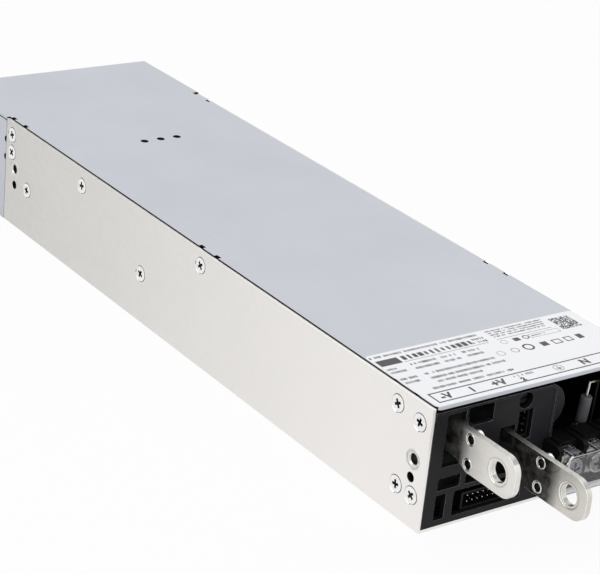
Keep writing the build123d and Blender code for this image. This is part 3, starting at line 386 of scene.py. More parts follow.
# painted highlight: mid grey on the black bezel's bevelled edges
bezelEdgeHighlight = moulding("bezelEdgeHighlight", {
    "skin": 0.18, "flow": 4.0, "dark": tint(128, 126, 130), "light": tint(168, 166, 170),
    "dust": tint(190, 188, 190),
    "dustShare": 0.2, "rough": 0.3, "relief": 0.01, "gloss": 0.5})
blockBlack = moulding("blockBlack", {
    "skin": 0.2, "flow": 7.0, "dark": tint(9, 9, 10), "light": tint(15, 15, 16), "dust": tint(44, 44, 46),
    "dustShare": 0.18, "rough": 0.4, "relief": 0.015, "gloss": 0.12})
fanBlack = moulding("fanBlack", {
    "skin": 0.3, "flow": 12.0, "dark": tint(26, 26, 28), "light": tint(40, 40, 43), "dust": tint(96, 94, 92),
    "dustShare": 0.3, "rough": 0.42, "relief": 0.02, "gloss": 0.45})
packageBlack = moulding("packageBlack", {
    "skin": 0.25, "flow": 6.0, "dark": tint(24, 24, 25), "light": tint(36, 36, 37), "dust": tint(80, 80, 80),
    "dustShare": 0.2, "rough": 0.45, "relief": 0.02, "gloss": 0.4})
trimmerBlue = moulding("trimmerBlue", {
    "skin": 0.15, "flow": 3.0, "dark": tint(24, 44, 84), "light": tint(32, 54, 98),
    "dust": tint(90, 104, 140),
    "dustShare": 0.1, "rough": 0.3, "relief": 0.01, "gloss": 0.5})
trimmerDark = moulding("trimmerDark", {
    "skin": 0.15, "flow": 2.0, "dark": tint(14, 14, 15), "light": tint(22, 22, 23), "dust": tint(50, 49, 48),
    "dustShare": 0.2, "rough": 0.5, "relief": 0.01, "gloss": 0.1})
filmYellow = moulding("filmCapYellow", {
    "skin": 0.2, "flow": 5.0, "dark": tint(200, 152, 40), "light": tint(218, 172, 58),
    "dust": tint(150, 120, 50),
    "dustShare": 0.2, "rough": 0.35, "relief": 0.015, "gloss": 0.5})
fibreFilm = moulding("fibreFilm", {
    "skin": 0.3, "flow": 14.0, "dark": tint(34, 33, 32), "light": tint(46, 45, 43), "dust": tint(84, 82, 78),
    "dustShare": 0.3, "rough": 0.5, "relief": 0.01, "gloss": 0.4})
ferrite = moulding("ferriteGrey", {
    "skin": 0.2, "flow": 4.0, "dark": tint(66, 66, 68), "light": tint(84, 84, 87),
    "dust": tint(120, 120, 122),
    "dustShare": 0.3, "rough": 0.5, "relief": 0.02, "gloss": 0.4})
boardGreen = moulding("boardGreen", {
    "skin": 0.3, "flow": 10.0, "dark": tint(8, 18, 14), "light": tint(12, 26, 19), "dust": tint(60, 58, 48),
    "dustShare": 0.3, "rough": 0.35, "relief": 0.02, "gloss": 0.15})
aluminium = platedMetal("plainAluminium", {
    "grain": 0.3, "stain": 6.0, "dark": tint(188, 189, 191), "light": tint(214, 215, 217),
    "stainColour": tint(160, 160, 162), "stainShare": 0.3, "rough": 0.34, "relief": 0.015})
groundSteel = platedMetal("groundSteel", {
    "grain": 0.15, "stain": 3.0, "dark": tint(196, 197, 200), "light": tint(228, 229, 231),
    "stainColour": tint(150, 150, 152), "stainShare": 0.2, "rough": 0.14, "relief": 0.005})
pinTin = platedMetal("pinTin", {
    "grain": 0.2, "stain": 1.0, "dark": tint(236, 232, 222), "light": tint(254, 252, 246),
    "stainColour": tint(200, 196, 186), "stainShare": 0.25, "rough": 0.16, "relief": 0.005})
copperWire = banded("copperWire", {
    "across": "Z", "wire": 0.8, "dark": tint(60, 28, 14), "light": tint(132, 74, 40), "metal": 0.7})
tapeWound = banded("tapeWound", {
    "across": "Z", "wire": 5.0, "dark": tint(190, 160, 60), "light": tint(222, 196, 96), "metal": 0.0})
fuseSleeve = capacitorCan("fuseSleeve", {
    "axis": "Z", "bareFrom": 26.0, "bareLeft": 30.2, "dark": tint(98, 98, 101), "light": tint(128, 128, 131),
    "rough": 0.35, "bareDark": tint(236, 232, 222), "bareLight": tint(252, 249, 242), "gloss": 0.3})
bulkSleeve = capacitorCan("bulkSleeve", {
    "axis": "X", "bareFrom": 0.0, "dark": tint(34, 36, 46), "light": tint(48, 50, 62), "rough": 0.25,
    "gloss": 0.4})
outputSleeve = capacitorCan("outputSleeve", {
    "axis": "Z", "bareFrom": 31.2, "dark": tint(28, 28, 32), "light": tint(48, 48, 54), "rough": 0.25,
    "gloss": 0.4})
lyingSleeve = capacitorCan("lyingSleeve", {
    "axis": "X", "bareFrom": 160.0, "dark": tint(26, 25, 29), "light": tint(36, 35, 40), "rough": 0.4,
    "gloss": 0.2})


def labelStock(look):  # white film, a little uneven
    made, start, place = begin("labelStock")
    fine = cloud(place, look["grain"])
    wide = cloud(place, 25.0)
    colour = (fine * 0.4 + wide * 0.6).blend(look["dark"], look["light"])
    return close(made, start, colour, look["rough"] + fine * 0.06, 0.0, fine, 0.004)


def labelInk(look):  # printed marks, thinner where worn
    made, start, place = begin("labelInk")
    wear = cloud(place, look["wear"], detail=2.0).span(0.45, 0.8)
    colour = wear.blend(look["dark"], look["light"])
    return close(made, start, colour, 0.4 + wear * 0.1, 0.0, wear, 0.003)


def clearPlastic(look):  # see-through moulding with a few handling marks
    made, start, place = begin("clearPlastic")
    scuffs = cloud(place, 2.0, (1, 0.15, 1), 3.0).span(0.6, 0.8)
    fine = cloud(place, 6.0)
    colour = scuffs.blend(look["clear"], look["scuffed"])
    bump = {"Strength": 0.4, "Distance": 0.02 * mm, "Height": fine}
    sockets = {"Base Color": colour, "Roughness": look["rough"] + scuffs * 0.12, "IOR": 1.49, "Metallic": 0.0,
               "Normal": start.node("ShaderNodeBump", {}, bump)}
    glassy = start.node("ShaderNodeBsdfPrincipled", {}, {**sockets, "Transmission Weight": 1.0})
    milky = start.node("ShaderNodeBsdfPrincipled", {}, sockets)
    mixed = start.node("ShaderNodeMixShader", {}, {0: scuffs * 0.1 + look["haze"], 1: glassy, 2: milky})
    start.node("ShaderNodeOutputMaterial", {}, {"Surface": mixed})
    return made


labelWhite = labelStock({
    "grain": 0.3, "dark": tint(237, 238, 242), "light": tint(245, 245, 248), "rough": 0.3})
ink = labelInk({"wear": 0.5, "dark": tint(22, 22, 26), "light": tint(50, 50, 56)})
clear = clearPlastic({
    "clear": tint(190, 193, 197), "scuffed": tint(206, 208, 211), "haze": 0.0, "rough": 0.04})
# painted highlight: near-white, opaque rim and edges of the clear cover
clearEdgeHighlight = clearPlastic({
    "clear": tint(250, 251, 252), "scuffed": tint(255, 255, 255), "haze": 1.0, "rough": 0.1})
print("materials made")


# CAD nodes that keep their shape
plainNodes = {
    "label": labelWhite, "insulating_film": fibreFilm, "main_board": boardGreen, "front_board": boardGreen,
    "control_board": boardGreen, "standoffs": nickel, "board_screws": zinc, "left_heatsink": aluminium,
    "right_heatsink": aluminium, "left_transistors": packageBlack, "right_transistors": packageBlack,
    "bridge_rectifier": packageBlack, "relay": packageBlack, "bulk_capacitors": bulkSleeve,
    "transformer_core": ferrite, "transformer_winding": tapeWound, "storage_inductors": copperWire,
    "filter_chokes": copperWire, "film_capacitor": filmYellow, "fan_bearings_left": groundSteel,
    "fan_bearings_right": groundSteel, "fan_shaft_left": groundSteel, "fan_shaft_right": groundSteel,
    "fan_stator_left": copperWire, "fan_stator_right": copperWire, "terminal_contacts": tin}
for nodeName, material in plainNodes.items():
    carried = frame["nodes"][nodeName].data
    carried.materials.clear()
    carried.materials.append(material)
print("plain nodes finished")


# pieces with eased edges: a merged copy of the node, bevelled
def boxOf(mesh):
    spots = [vertex.co for vertex in mesh.vertices]
    return [min(s[i] for s in spots) for i in range(3)], [max(s[i] for s in spots) for i in range(3)]


def turnedIn(face, low, high, rim):  # true for a face that isn't on the outside of the node's box
    way = max(range(3), key=lambda i: abs(face.normal[i]))
    end = high[way] if face.normal[way] > 0 else low[way]
    return abs(face.center[way] - end) > rim


def shadeWhere(mesh, material, test):  # gives a material to the faces that the test picks
    mesh.materials.append(material)
    for face in mesh.polygons:
        if test(face):
            face.material_index = len(mesh.materials) - 1


sharpFrom = math.radians(34)


def ease(nodeName, look):
    form = bmesh.new()
    form.from_mesh(frame["nodes"][nodeName].data)
    bmesh.ops.remove_doubles(form, verts=form.verts, dist=0.002 * mm)
    bmesh.ops.dissolve_limit(form, angle_limit=math.radians(0.5), verts=form.verts, edges=form.edges)
    mesh = meshFrom(form, nodeName)
    mesh.materials.clear()
    for use in ("material", "edge", "inner"):
        mesh.materials.append(look.get(use, look["material"]))
    low, high = boxOf(mesh)
    # faces turned inside the box take the inner material, a painted shade
    for face in mesh.polygons:
        face.material_index = 2 if "inner" in look and turnedIn(face, low, high, look["rim"] * mm) else 0
        face.use_smooth = True
    mesh.set_sharp_from_angle(angle=sharpFrom)
    holder = holderFor(mesh)
    bevel = holder.modifiers.new("easedEdges", "BEVEL")
    bevel.width = look["width"] * mm
    bevel.segments = look.get("steps", 2)
    bevel.limit_method = "ANGLE"
    bevel.angle_limit = sharpFrom
    bevel.material = 1
    bevel.use_clamp_overlap = True
    holder.modifiers.new("flatFaces", "WEIGHTED_NORMAL").keep_sharp = True
    made = settle(holder)
    for vertex in made.vertices:
        vertex.co.y += look.get("lean", 0.0) * max(0.0, vertex.co.z - look.get("leanFrom", 0.0) * mm)
    if "shade" in look:
        shadeWhere(made, look["shadeMaterial"], look["shade"])
    words = nodeName.split("_")
    name = words[0] + "".join(word.capitalize() for word in words[1:]) + "Finished"
    body = frame["nodes"][nodeName]["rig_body"]
    return newPiece(name, made, body, (nodeName,))


# which faces get painted shade of their own, and the clear cover's rim a painted highlight: a place in
# millimetres and the way they face
coverSeam = {"side": 40.9, "height": 40.2, "rear": -140.0}
driveSlot = {"poles": (8.6, 18.6, 28.6), "height": 13.6, "radius": 2.2, "depth": 155.5}
nutBore = {"negative": (155.0, 27.35), "positive": (164.2, 19.7), "step": 4.0, "radius": 1.45}
insertBore = {"inside": 42.0}
fuseBend = {"lean": 0.1, "leanFrom": 17.0, "farLeg": 28.5}
coverPlate = {"depth": 1.3}
plateBack = max(corner[0] for corner in frame["nodes"]["terminal_cover"].bound_box) - coverPlate["depth"] * mm


def onSideSeam(face):  # the cover's long edges beside the walls, painted dark as the seam's shade
    x, y, z = face.center / mm
    outside = abs(y) > coverSeam["side"] and z > coverSeam["height"] and x > coverSeam["rear"]
    return outside and abs(face.normal.y) > 0.3


def inDriveSlot(face):  # the walls and floor of a terminal screw's drive, painted dark as shade
    x, y, z = face.center / mm
    near = min(math.hypot(y - pole, z - driveSlot["height"]) for pole in driveSlot["poles"])
    return near < driveSlot["radius"] and x > driveSlot["depth"] and abs(face.normal.x) < 0.6


# the nut bores' walls, painted dark as shade
def inNutBore(face):
    x, y, z = face.center / mm
    places = [(a, b + step) for a, b in (nutBore["negative"], nutBore["positive"])
              for step in (-nutBore["step"], nutBore["step"])]
    return any(math.hypot(x - a, z - b) < nutBore["radius"] for a, b in places) and abs(face.normal.y) < 0.5


def onBladeTop(face):  # the blade's top faces, painted darker as shade, between two edges painted as highlights
    return face.normal.z > 0.7


# the mounting insert's bore walls, painted darker as shade
def inInsertBore(face):
    return abs(face.center.y) < insertBore["inside"] * mm and abs(face.normal.y) < 0.4


def onFarLeg(face):  # the fuse's second leg, painted dark as its shadow
    x, y, z = face.center / mm
    return y - fuseBend["lean"] * max(0.0, z - fuseBend["leanFrom"]) > fuseBend["farLeg"]


def onRim(face):  # the cut faces round the clear cover's plate, painted near-white as a highlight
    return abs(face.normal.x) < 0.6 and face.center.x > plateBack


poles = ("earth", "neutral", "line")
sides = ("left", "right")
easedNodes = {
    "chassis": {"width": 0.2, "material": galvanised, "edge": edgeHighlightSteel, "inner": insideShade, "rim": 0.5},
    "cover": {"width": 0.22, "material": coated, "edge": coatedEdge, "inner": insideShade, "rim": 0.5,
              "shade": onSideSeam, "shadeMaterial": insideShade},
    "front_bezel": {"width": 0.26, "material": bezelBlack, "edge": bezelEdgeHighlight},
    "negative_blade": {"width": 0.3, "material": tin, "edge": tinEdgeHighlight, "steps": 3, "shade": onBladeTop,
                       "shadeMaterial": bladeTopShade},
    "positive_blade": {"width": 0.3, "material": tinRootShaded, "edge": tinEdgeHighlight, "steps": 3, "shade": onBladeTop,
                       "shadeMaterial": bladeTopShade},
    "blade_nuts": {"width": 0.2, "material": zinc, "edge": tinEdgeHighlight, "shade": inNutBore,
                   "shadeMaterial": recessShade},
    "mounting_inserts": {"width": 0.12, "material": nickel, "edge": zinc, "shade": inInsertBore,
                         "shadeMaterial": boreNickelShade},
    "signal_header": {"width": 0.12, "material": blockBlack},
    "auxiliary_header": {"width": 0.12, "material": blockBlack},
    "trimmer_body": {"width": 0.15, "material": trimmerBlue},
    "trimmer_rotor": {"width": 0.1, "material": trimmerDark},
    "terminal_block": {"width": 0.25, "material": blockBlack},
    "terminal_cover": {"width": 0.34, "material": clear, "edge": clearEdgeHighlight, "shade": onRim,
                       "shadeMaterial": clearEdgeHighlight},
    **{pole + "_clamp": {"width": 0.12, "material": tin, "edge": tinEdgeHighlight} for pole in poles},
    **{pole + "_screw": {"width": 0.15, "material": nickel, "edge": zinc, "shade": inDriveSlot,
                         "shadeMaterial": recessShade} for pole in poles},
    **{"fan_frame_" + side: {"width": 0.3, "material": fanBlack} for side in sides},
    **{"fan_rotor_" + side: {"width": 0.15, "material": fanBlack} for side in sides},
    "output_capacitors": {"width": 0.1, "material": outputSleeve},
    "lying_capacitor": {"width": 0.1, "material": lyingSleeve},
    "input_fuse": {**fuseBend, "width": 0.1, "material": fuseSleeve, "shade": onFarLeg,
                   "shadeMaterial": recessShade}}
for nodeName, look in easedNodes.items():
    ease(nodeName, look)
print("eased pieces made")


# screws and pins, stamped on points
def stampTree():
    tree, first = newTree("stamp", [("Stamp", "Object", None), ("Material", "Material", None)])
    facing = first.node("GeometryNodeInputNamedAttribute", {"data_type": "FLOAT_VECTOR"}, {"Name": "facing"})
    spin = first.node("GeometryNodeInputNamedAttribute", {"data_type": "FLOAT"}, {"Name": "spin"})
    turned = first.node("FunctionNodeAlignRotationToVector", {"axis": "Z"}, {"Vector": facing})
    about = first.node("FunctionNodeAxisAngleToRotation", {}, {"Axis": (0, 0, 1), "Angle": spin})
    turned = first.node("FunctionNodeRotateRotation", {"rotation_space": "LOCAL"}, {0: turned, 1: about})
    shape = first.node("GeometryNodeObjectInfo", {}, {"Object": first.pick("Stamp")}, "Geometry")
    sockets = {"Points": first.pick("Geometry"), "Instance": shape, "Rotation": turned}
    closeTree(first.node("GeometryNodeInstanceOnPoints", {}, sockets), first.pick("Material"))
    return tree


def pointMesh(places):  # each place: x, y, z in millimetres, the way it faces, its spin in degrees
    mesh = bpy.data.meshes.new("points")
    mesh.from_pydata([Vector(place[:3]) * mm for place in places], [], [])
    mesh.attributes.new("facing", "FLOAT_VECTOR", "POINT")
    mesh.attributes.new("spin", "FLOAT", "POINT")
    for i, place in enumerate(places):
        mesh.attributes["facing"].data[i].vector = place[3]
        mesh.attributes["spin"].data[i].value = math.radians(place[4])
    return mesh


def hull(name, corners):
    form = bmesh.new()
    for corner in corners:
        form.verts.new(Vector(corner) * mm)
    bmesh.ops.convex_hull(form, input=form.verts)
    return meshFrom(form, name)


def box(x, y, z):
    return [(a, b, c) for a in x for b in y for c in z]


def countersunkScrew(look):  # its face at 0 and its shank below, with a tapered cross recess
    form = bmesh.new()
    rings = [(look["crown"] - 0.15, 0.0), (look["crown"], -0.08), (look["crown"], -0.4), (look["head"], -0.4),
             (look["head"], -0.45), (look["shank"], -look["depth"]), (look["shank"], -look["length"])]
    loops = [circle(form, 0.0, 0.0, radius, height, look["sides"]) for radius, height in rings]
    for upper, lower in zip(loops, loops[1:]):
        bridge(form, upper, lower)
    form.faces.new(loops[0])
    form.faces.new(list(reversed(loops[-1])))
    bmesh.ops.recalc_face_normals(form, faces=form.faces)
    mesh = meshFrom(form, "screw")
    for face in mesh.polygons:
        face.use_smooth = True
    mesh.set_sharp_from_angle(angle=math.radians(30))
    holder = holderFor(mesh)
    cutters = []
    for quarter in (0, 90):
        reach, wing = look["recess"] / 2, look["wing"] / 2
        floorReach, floorWing = look["recessFloor"] / 2, wing * 0.7
        corners = box((-reach, reach), (-wing, wing), (0.3,))
        corners += box((-floorReach, floorReach), (-floorWing, floorWing), (-look["deep"],))
        cutter = holderFor(hull("recess", corners))
        cutter.data.transform(Matrix.Rotation(math.radians(quarter), 4, "Z"))
        cut = holder.modifiers.new("recess", "BOOLEAN")
        cut.operation = "DIFFERENCE"
        cut.object = cutter
        cutters.append(cutter)
    made = settle(holder)
    for cutter in cutters:
        bpy.data.objects.remove(cutter)
    return made


stamp = stampTree()
wallScrews = {
    "head": 2.98, "crown": 2.66, "shank": 1.45, "depth": 1.5, "length": 4.9, "sides": 40, "recess": 3.3,
    "wing": 0.95,
    "recessFloor": 1.0, "deep": 1.3, "darkBelow": 0.1,
    "left": ((46.4, 35.4, 20), (46.5, 28.5, 50), (59.2, 17.8, 75), (99.2, 34.4, 12), (141.6, 17.7, 60),
             (177.6, 35.4, 35), (283.8, 35.3, 28), (294.3, 34.1, 72), (287.2, 10.5, 8), (294.5, 10.4, 48)),
    "right": ((46.4, 35.4, 15), (46.5, 28.5, 40), (228.3, 35.4, 65), (180.0, 17.7, 22), (230.0, 17.7, 80))}
screwMesh = countersunkScrew(wallScrews)
screwStamp = holderFor(screwMesh)
places = [(x - half["length"], -half["width"], z, (0, -1, 0), spin) for x, z, spin in wallScrews["left"]]
places += [(x - half["length"], half["width"], z, (0, 1, 0), spin) for x, z, spin in wallScrews["right"]]
made = grow(stamp, pointMesh(places), {"Stamp": screwStamp, "Material": zinc})
# painted shade: screw faces deeper than darkBelow under the wall's face, in the cross recess, groove and
# shank
deepFace = (half["width"] - wallScrews["darkBelow"]) * mm
shadeWhere(made, recessShade, lambda face: abs(face.center.y) < deepFace)
newPiece("wallScrewsFinished", made, "case", ("wall_screws",))

fanScrews = {"fans": (-19.1, 19.1), "middle": 20.5, "pitch": 31.5, "seed": 3}
turns = random.Random(fanScrews["seed"])
off = fanScrews["pitch"] / 2
places = [(-half["length"], y + a * off, fanScrews["middle"] + b * off, (-1, 0, 0), turns.uniform(0, 90))
          for y in fanScrews["fans"] for a in (-1, 1) for b in (-1, 1)]
made = grow(stamp, pointMesh(places), {"Stamp": screwStamp, "Material": zinc})
# painted shade: the same for the fan screws' recesses
deepFace = (half["length"] - wallScrews["darkBelow"]) * mm
shadeWhere(made, recessShade, lambda face: face.center.x > -deepFace)
newPiece("fanScrewsFinished", made, "case", ("fan_screws",))
bpy.data.objects.remove(screwStamp)

headerPins = {
    "side": 0.25, "tip": 0.12, "taper": 0.45, "length": 9.4, "front": 147.7, "pitch": 2.0,
    "signal": {"y": -23.1, "z": 6.25, "columns": 7}, "auxiliary": {"y": -7.1, "z": 24.85, "columns": 4}}
side, tip = headerPins["side"], headerPins["tip"]
front, pitch = headerPins["front"], headerPins["pitch"]
signal, auxiliary = headerPins["signal"], headerPins["auxiliary"]
pinShape = box((-side, side), (-side, side), (-headerPins["length"], -headerPins["taper"]))
pinShape += box((-tip, tip), (-tip, tip), (0,))
pinStamp = holderFor(hull("pin", pinShape))
rows = {
    "signal": [(front, signal["y"] + pitch * i, signal["z"] + step, (1, 0, 0), 0)
               for i in range(signal["columns"]) for step in (-pitch / 2, pitch / 2)],
    "auxiliary": [(front, auxiliary["y"] + step, auxiliary["z"] + pitch * i, (1, 0, 0), 0)
                  for i in range(auxiliary["columns"]) for step in (0, pitch)]}
for header, places in rows.items():
    made = grow(stamp, pointMesh(places), {"Stamp": pinStamp, "Material": pinTin})
    pins = header + "_header_pins"
    newPiece(header + "PinsFinished", made, "case", (pins,))
bpy.data.objects.remove(pinStamp)
print("screws and pins stamped")


# label printing
labelPrint = {
    "height": round(cadBox[1][2] / mm, 3), "film": 0.02, "ringSides": 32, "bold": 0.2,
    "marks": (("-V", 144.9, -34.3, 4.4), ("1", 144.9, -24.6, 4.0), ("+V", 144.9, -14.5, 4.4),
              ("2", 146.0, -6.0, 2.6), ("N", 144.8, 19.4, 4.2), ("L", 144.8, 29.6, 4.2)),
    "frames": ((141.8, 147.6, -38.9, 39.2, 0.5), (122.9, 125.2, 15.4, 27.5, 0.12),
               (128.9, 131.7, 19.6, 22.8, 0.4), (128.9, 131.7, 24.4, 27.2, 0.4)),
    "rules": ((122.05, 122.2, -31.8, 0.6), (121.6, 121.75, 4.3, 26.6)),
    "fields": ((118.6, 122.2, -40.2, -32.4), (128.9, 131.7, 29.4, 31.6), (128.7, 131.3, 15.0, 17.6),
               (123.0, 125.0, 9.0, 11.4)),
    "earthMark": ((143.5, 145.6, 8.9, 9.1), (144.6, 144.8, 7.9, 10.1), (145.1, 145.3, 8.3, 9.7),
                  (145.6, 145.8, 8.7, 9.3)),
    "rings": ((144.6, 9.0, 1.75, 1.6), (129.8, -0.9, 1.4, 1.25), (129.8, 4.7, 1.4, 1.2),
              (129.7, 10.1, 2.0, 1.35), (123.9, 5.2, 1.2, 1.08), (123.9, 14.0, 1.2, 0.8))}
middleHeight = labelPrint["height"] + labelPrint["film"] / 2


def blockMesh(parts):  # flat bars given by their limits in x and y
    form = bmesh.new()
    low, high = labelPrint["height"], labelPrint["height"] + labelPrint["film"]
    for x0, x1, y0, y1 in parts:
        corners = [form.verts.new(Vector(p) * mm) for p in box((x0, x1), (y0, y1), (low, high))]
        bmesh.ops.convex_hull(form, input=corners)
    return meshFrom(form, "bars")


def frameBars(x0, x1, y0, y1, width):
    ends = [(x0, x0 + width, y0, y1), (x1 - width, x1, y0, y1)]
    return ends + [(x0, x1, y0, y0 + width), (x0, x1, y1 - width, y1)]


def markMesh(words, x, y, size):
    curve = bpy.data.curves.new("mark", "FONT")
    curve.body = words
    curve.size = size * mm
    curve.align_x = "CENTER"
    curve.align_y = "CENTER"
    curve.extrude = labelPrint["film"] * mm / 2
    curve.offset = labelPrint["bold"] * mm
    mesh = settle(holderFor(curve))
    there = Matrix.Translation(Vector((x, y, middleHeight)) * mm)
    mesh.transform(there @ Matrix.Rotation(math.pi / 2, 4, "Z"))
    return mesh


def ringMesh(x, y, outer, inner):
    form = bmesh.new()
    low, high = labelPrint["height"], labelPrint["height"] + labelPrint["film"]
    corners = ((outer, low), (outer, high), (inner, high), (inner, low))
    loops = [circle(form, x, y, radius, height, labelPrint["ringSides"]) for radius, height in corners]
    for first, second in zip(loops, loops[1:] + loops[:1]):
        bridge(form, first, second)
    bmesh.ops.recalc_face_normals(form, faces=form.faces)
    return meshFrom(form, "ring")


def printTree():  # runs of small bars along each drawn line, with gaps, in place of words
    tree, first = newTree("print", [
        ("Pitch", "Float", 0.001), ("Height", "Float", 0.001), ("Film", "Float", 0.00002),
        ("Gap share", "Float", 0.15), ("Seed", "Int", 1), ("Material", "Material", None)])
    lines = first.node("GeometryNodeMeshToCurve", {}, {0: first.pick("Geometry")})
    spaced = {0: lines, "Length": first.pick("Pitch")}
    points = first.node("GeometryNodeCurveToPoints", {"mode": "LENGTH"}, spaced)
    seed = first.pick("Seed")
    number = {"data_type": "FLOAT"}
    chance = first.node("FunctionNodeRandomValue", number, {"Seed": seed}, 1)
    kept = first.node("GeometryNodeDeleteGeometry", {"domain": "POINT"},
                      {0: points, "Selection": chance < first.pick("Gap share")})
    wide = first.node("FunctionNodeRandomValue", number, {2: 0.35, 3: 0.8, "Seed": seed + 11}, 1)
    tall = first.node("FunctionNodeRandomValue", number, {2: 0.7, 3: 1.0, "Seed": seed + 23}, 1)
    size = first.node("ShaderNodeCombineXYZ", {}, {
        0: tall * first.pick("Height"), 1: wide * first.pick("Pitch"), 2: first.pick("Film")})
    bar = first.node("GeometryNodeMeshCube", {}, {"Size": (1, 1, 1)})
    stamped = first.node("GeometryNodeInstanceOnPoints", {}, {"Points": kept, "Instance": bar, "Scale": size})
    closeTree(stamped, first.pick("Material"))
    return tree


def codeTree():  # a square of small dark cells, each there or not by chance
    tree, first = newTree("cells", [
        ("Side", "Float", 0.008), ("Cells", "Int", 20), ("Film", "Float", 0.00002), ("Seed", "Int", 5),
        ("Material", "Material", None)])
    side, count = first.pick("Side"), first.pick("Cells")
    sockets = {"Size X": side, "Size Y": side, "Vertices X": count, "Vertices Y": count}
    grid = first.node("GeometryNodeMeshGrid", {}, sockets)
    points = first.node("GeometryNodeMeshToPoints", {}, {0: grid})
    chance = first.node("FunctionNodeRandomValue", {"data_type": "FLOAT"}, {"Seed": first.pick("Seed")}, 1)
    gone = {0: points, "Selection": chance < 0.42}
    kept = first.node("GeometryNodeDeleteGeometry", {"domain": "POINT"}, gone)
    cell = first.calc("DIVIDE", side, count - 1) * 1.02
    size = first.node("ShaderNodeCombineXYZ", {}, {0: cell, 1: cell, 2: first.pick("Film")})
    bar = first.node("GeometryNodeMeshCube", {}, {"Size": (1, 1, 1)})
    stamped = first.node("GeometryNodeInstanceOnPoints", {}, {"Points": kept, "Instance": bar, "Scale": size})
    closeTree(stamped, first.pick("Material"))
    return tree


def lineMesh(rows):
    points, edges = [], []
    for x, y0, y1 in rows:
        edges.append((len(points), len(points) + 1))
        points += [Vector((x, y, middleHeight)) * mm for y in (y0, y1)]
    mesh = bpy.data.meshes.new("rows")
    mesh.from_pydata(points, edges, [])
    return mesh


smallRows = {
    "pitch": 0.72, "height": 1.3, "gap": 0.12, "seed": 4, "rows": (
        (124.6, -40.0, -37.0), (126.7, -40.0, -35.0), (124.3, -31.0, -22.2), (127.0, -31.0, -22.8),
        (124.3, -19.6, -14.6), (127.0, -20.0, -14.6), (124.2, -11.3, -5.4), (126.8, -11.2, -5.0),
        (131.2, -40.0, -34.5), (133.6, -40.0, -35.5), (131.1, -31.0, -5.0), (134.0, -31.0, -3.3),
        (136.5, -30.3, -14.2), (143.6, -7.6, -0.6))}
titleRows = {"pitch": 0.85, "height": 1.25, "gap": 0.08, "seed": 9, "rows": (
    (116.4, -40.2, 0.0), (139.6, -34.5, -4.8), (118.7, -3.0, 0.9), (120.7, -4.0, 0.8))}
finePrint = {"pitch": 0.5, "height": 0.75, "gap": 0.12, "seed": 14, "rows": (
    (116.0, 4.4, 26.7), (117.3, 4.4, 26.2), (118.6, 4.4, 25.8), (119.9, 4.4, 25.1), (124.0, 16.6, 21.5))}
headline = {"pitch": 2.1, "height": 2.7, "gap": 0.04, "seed": 2, "rows": ((119.9, -30.4, -5.0),)}
codeSquare = {"side": 7.4, "cells": 22, "x": 120.7, "y": 33.1}
printing = printTree()
prints = []
for block in (smallRows, titleRows, finePrint, headline):
    values = {"Pitch": block["pitch"] * mm, "Height": block["height"] * mm, "Film": labelPrint["film"] * mm,
              "Gap share": block["gap"], "Seed": block["seed"], "Material": ink}
    prints.append(grow(printing, lineMesh(block["rows"]), values))
values = {"Side": codeSquare["side"] * mm, "Cells": codeSquare["cells"], "Film": labelPrint["film"] * mm,
          "Material": ink}
cells = grow(codeTree(), bpy.data.meshes.new("empty"), values)
cells.transform(Matrix.Translation(Vector((codeSquare["x"], codeSquare["y"], middleHeight)) * mm))
prints.append(cells)
bars = list(labelPrint["rules"] + labelPrint["fields"] + labelPrint["earthMark"])
for outline in labelPrint["frames"]:
    bars += frameBars(*outline)
prints.append(blockMesh(bars))
prints += [ringMesh(*ring) for ring in labelPrint["rings"]]
prints += [markMesh(*mark) for mark in labelPrint["marks"]]
whole = bmesh.new()
for part in prints:
    whole.from_mesh(part)
printed = meshFrom(whole, "labelPrint")
printed.materials.clear()
printed.materials.append(ink)
for face in printed.polygons:
    face.material_index = 0
newPiece("labelPrinting", printed, "case")
print("label printed")


# floor, light and camera
studio = {
    "floorSize": 6.0, "floorDrop": 0.0002, "floorDark": tint(236, 236, 236),
    "floorLight": tint(240, 240, 240),
    "floorGlow": 0.93, "worldLight": 0.58, "aim": (0.05, 0, 0),
    "lamps": (((0.1, -1.15, 1.2), 1.2, 9.0), ((1.4, 0.2, 0.9), 0.9, 4.2), ((-0.6, 1.2, 1.3), 1.2, 4.0))}


def seenRay(start):  # 1 where the camera, a reflection or glass looks straight at it
    path = start.node("ShaderNodeLightPath", out="Is Camera Ray")
    both = path.calc("MAXIMUM", path, path.pick("Is Glossy Ray"))
    return both.calc("MAXIMUM", both, path.pick("Is Transmission Ray"))


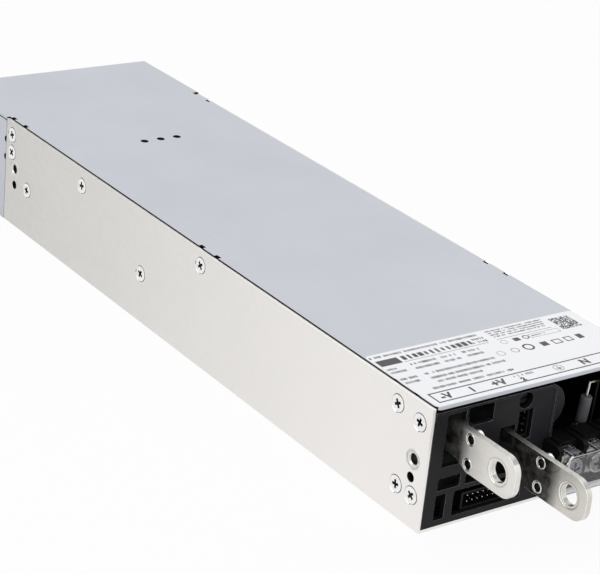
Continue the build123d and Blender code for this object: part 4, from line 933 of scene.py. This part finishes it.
def makeFloor(look):
    made, start, place = begin("studioFloor")
    paper = cloud(place, 400.0).blend(look["floorDark"], look["floorLight"])
    matt = start.node("ShaderNodeBsdfDiffuse", {}, {"Color": paper})
    glow = start.node("ShaderNodeEmission", {}, {"Color": (1, 1, 1, 1), "Strength": 1.0})
    mixed = start.node("ShaderNodeMixShader", {}, {0: seenRay(start) * look["floorGlow"], 1: matt, 2: glow})
    start.node("ShaderNodeOutputMaterial", {}, {"Surface": mixed})
    form = bmesh.new()
    bmesh.ops.create_grid(form, x_segments=8, y_segments=8, size=look["floorSize"] / 2)
    mesh = meshFrom(form, "floor")
    mesh.transform(Matrix.Translation((0, 0, -look["floorDrop"])))
    mesh.materials.append(made)
    floor = bpy.data.objects.new("studioFloor", mesh)
    bpy.context.scene.collection.objects.link(floor)


def makeWorld(look):
    world = bpy.data.worlds.new("studio")
    bpy.context.scene.world = world
    world.use_nodes = True
    world.node_tree.nodes.clear()
    start = wire(world.node_tree)
    soft = start.node("ShaderNodeBackground", {}, {"Color": (1, 1, 1, 1), "Strength": look["worldLight"]})
    white = start.node("ShaderNodeBackground", {}, {"Color": (1, 1, 1, 1), "Strength": 1.0})
    mixed = start.node("ShaderNodeMixShader", {}, {0: seenRay(start), 1: soft, 2: white})
    start.node("ShaderNodeOutputWorld", {}, {"Surface": mixed})


def makeLamps(look):
    for spot, size, power in look["lamps"]:
        data = bpy.data.lights.new("softBox", "AREA")
        data.size = size
        data.energy = power
        lamp = bpy.data.objects.new("softBox", data)
        lamp.location = spot
        lamp.rotation_euler = (Vector(look["aim"]) - Vector(spot)).to_track_quat("-Z", "Y").to_euler()
        bpy.context.scene.collection.objects.link(lamp)


makeFloor(studio)
makeWorld(studio)
makeLamps(studio)

photoView = {"eye": (0.52619, -0.38283, 0.29620), "turn": (1.155004, -0.094749, 0.958715), "lens": 120.72}
lensData = bpy.data.cameras.new("photoView")
lensData.lens = photoView["lens"]
lensData.sensor_width = 36.0
lensData.clip_start = 0.01
camera = bpy.data.objects.new("photoView", lensData)
camera.location = photoView["eye"]
camera.rotation_euler = photoView["turn"]
bpy.context.scene.collection.objects.link(camera)
bpy.context.scene.camera = camera
bpy.context.scene.view_settings.view_transform = "Standard"
print("studio ready")
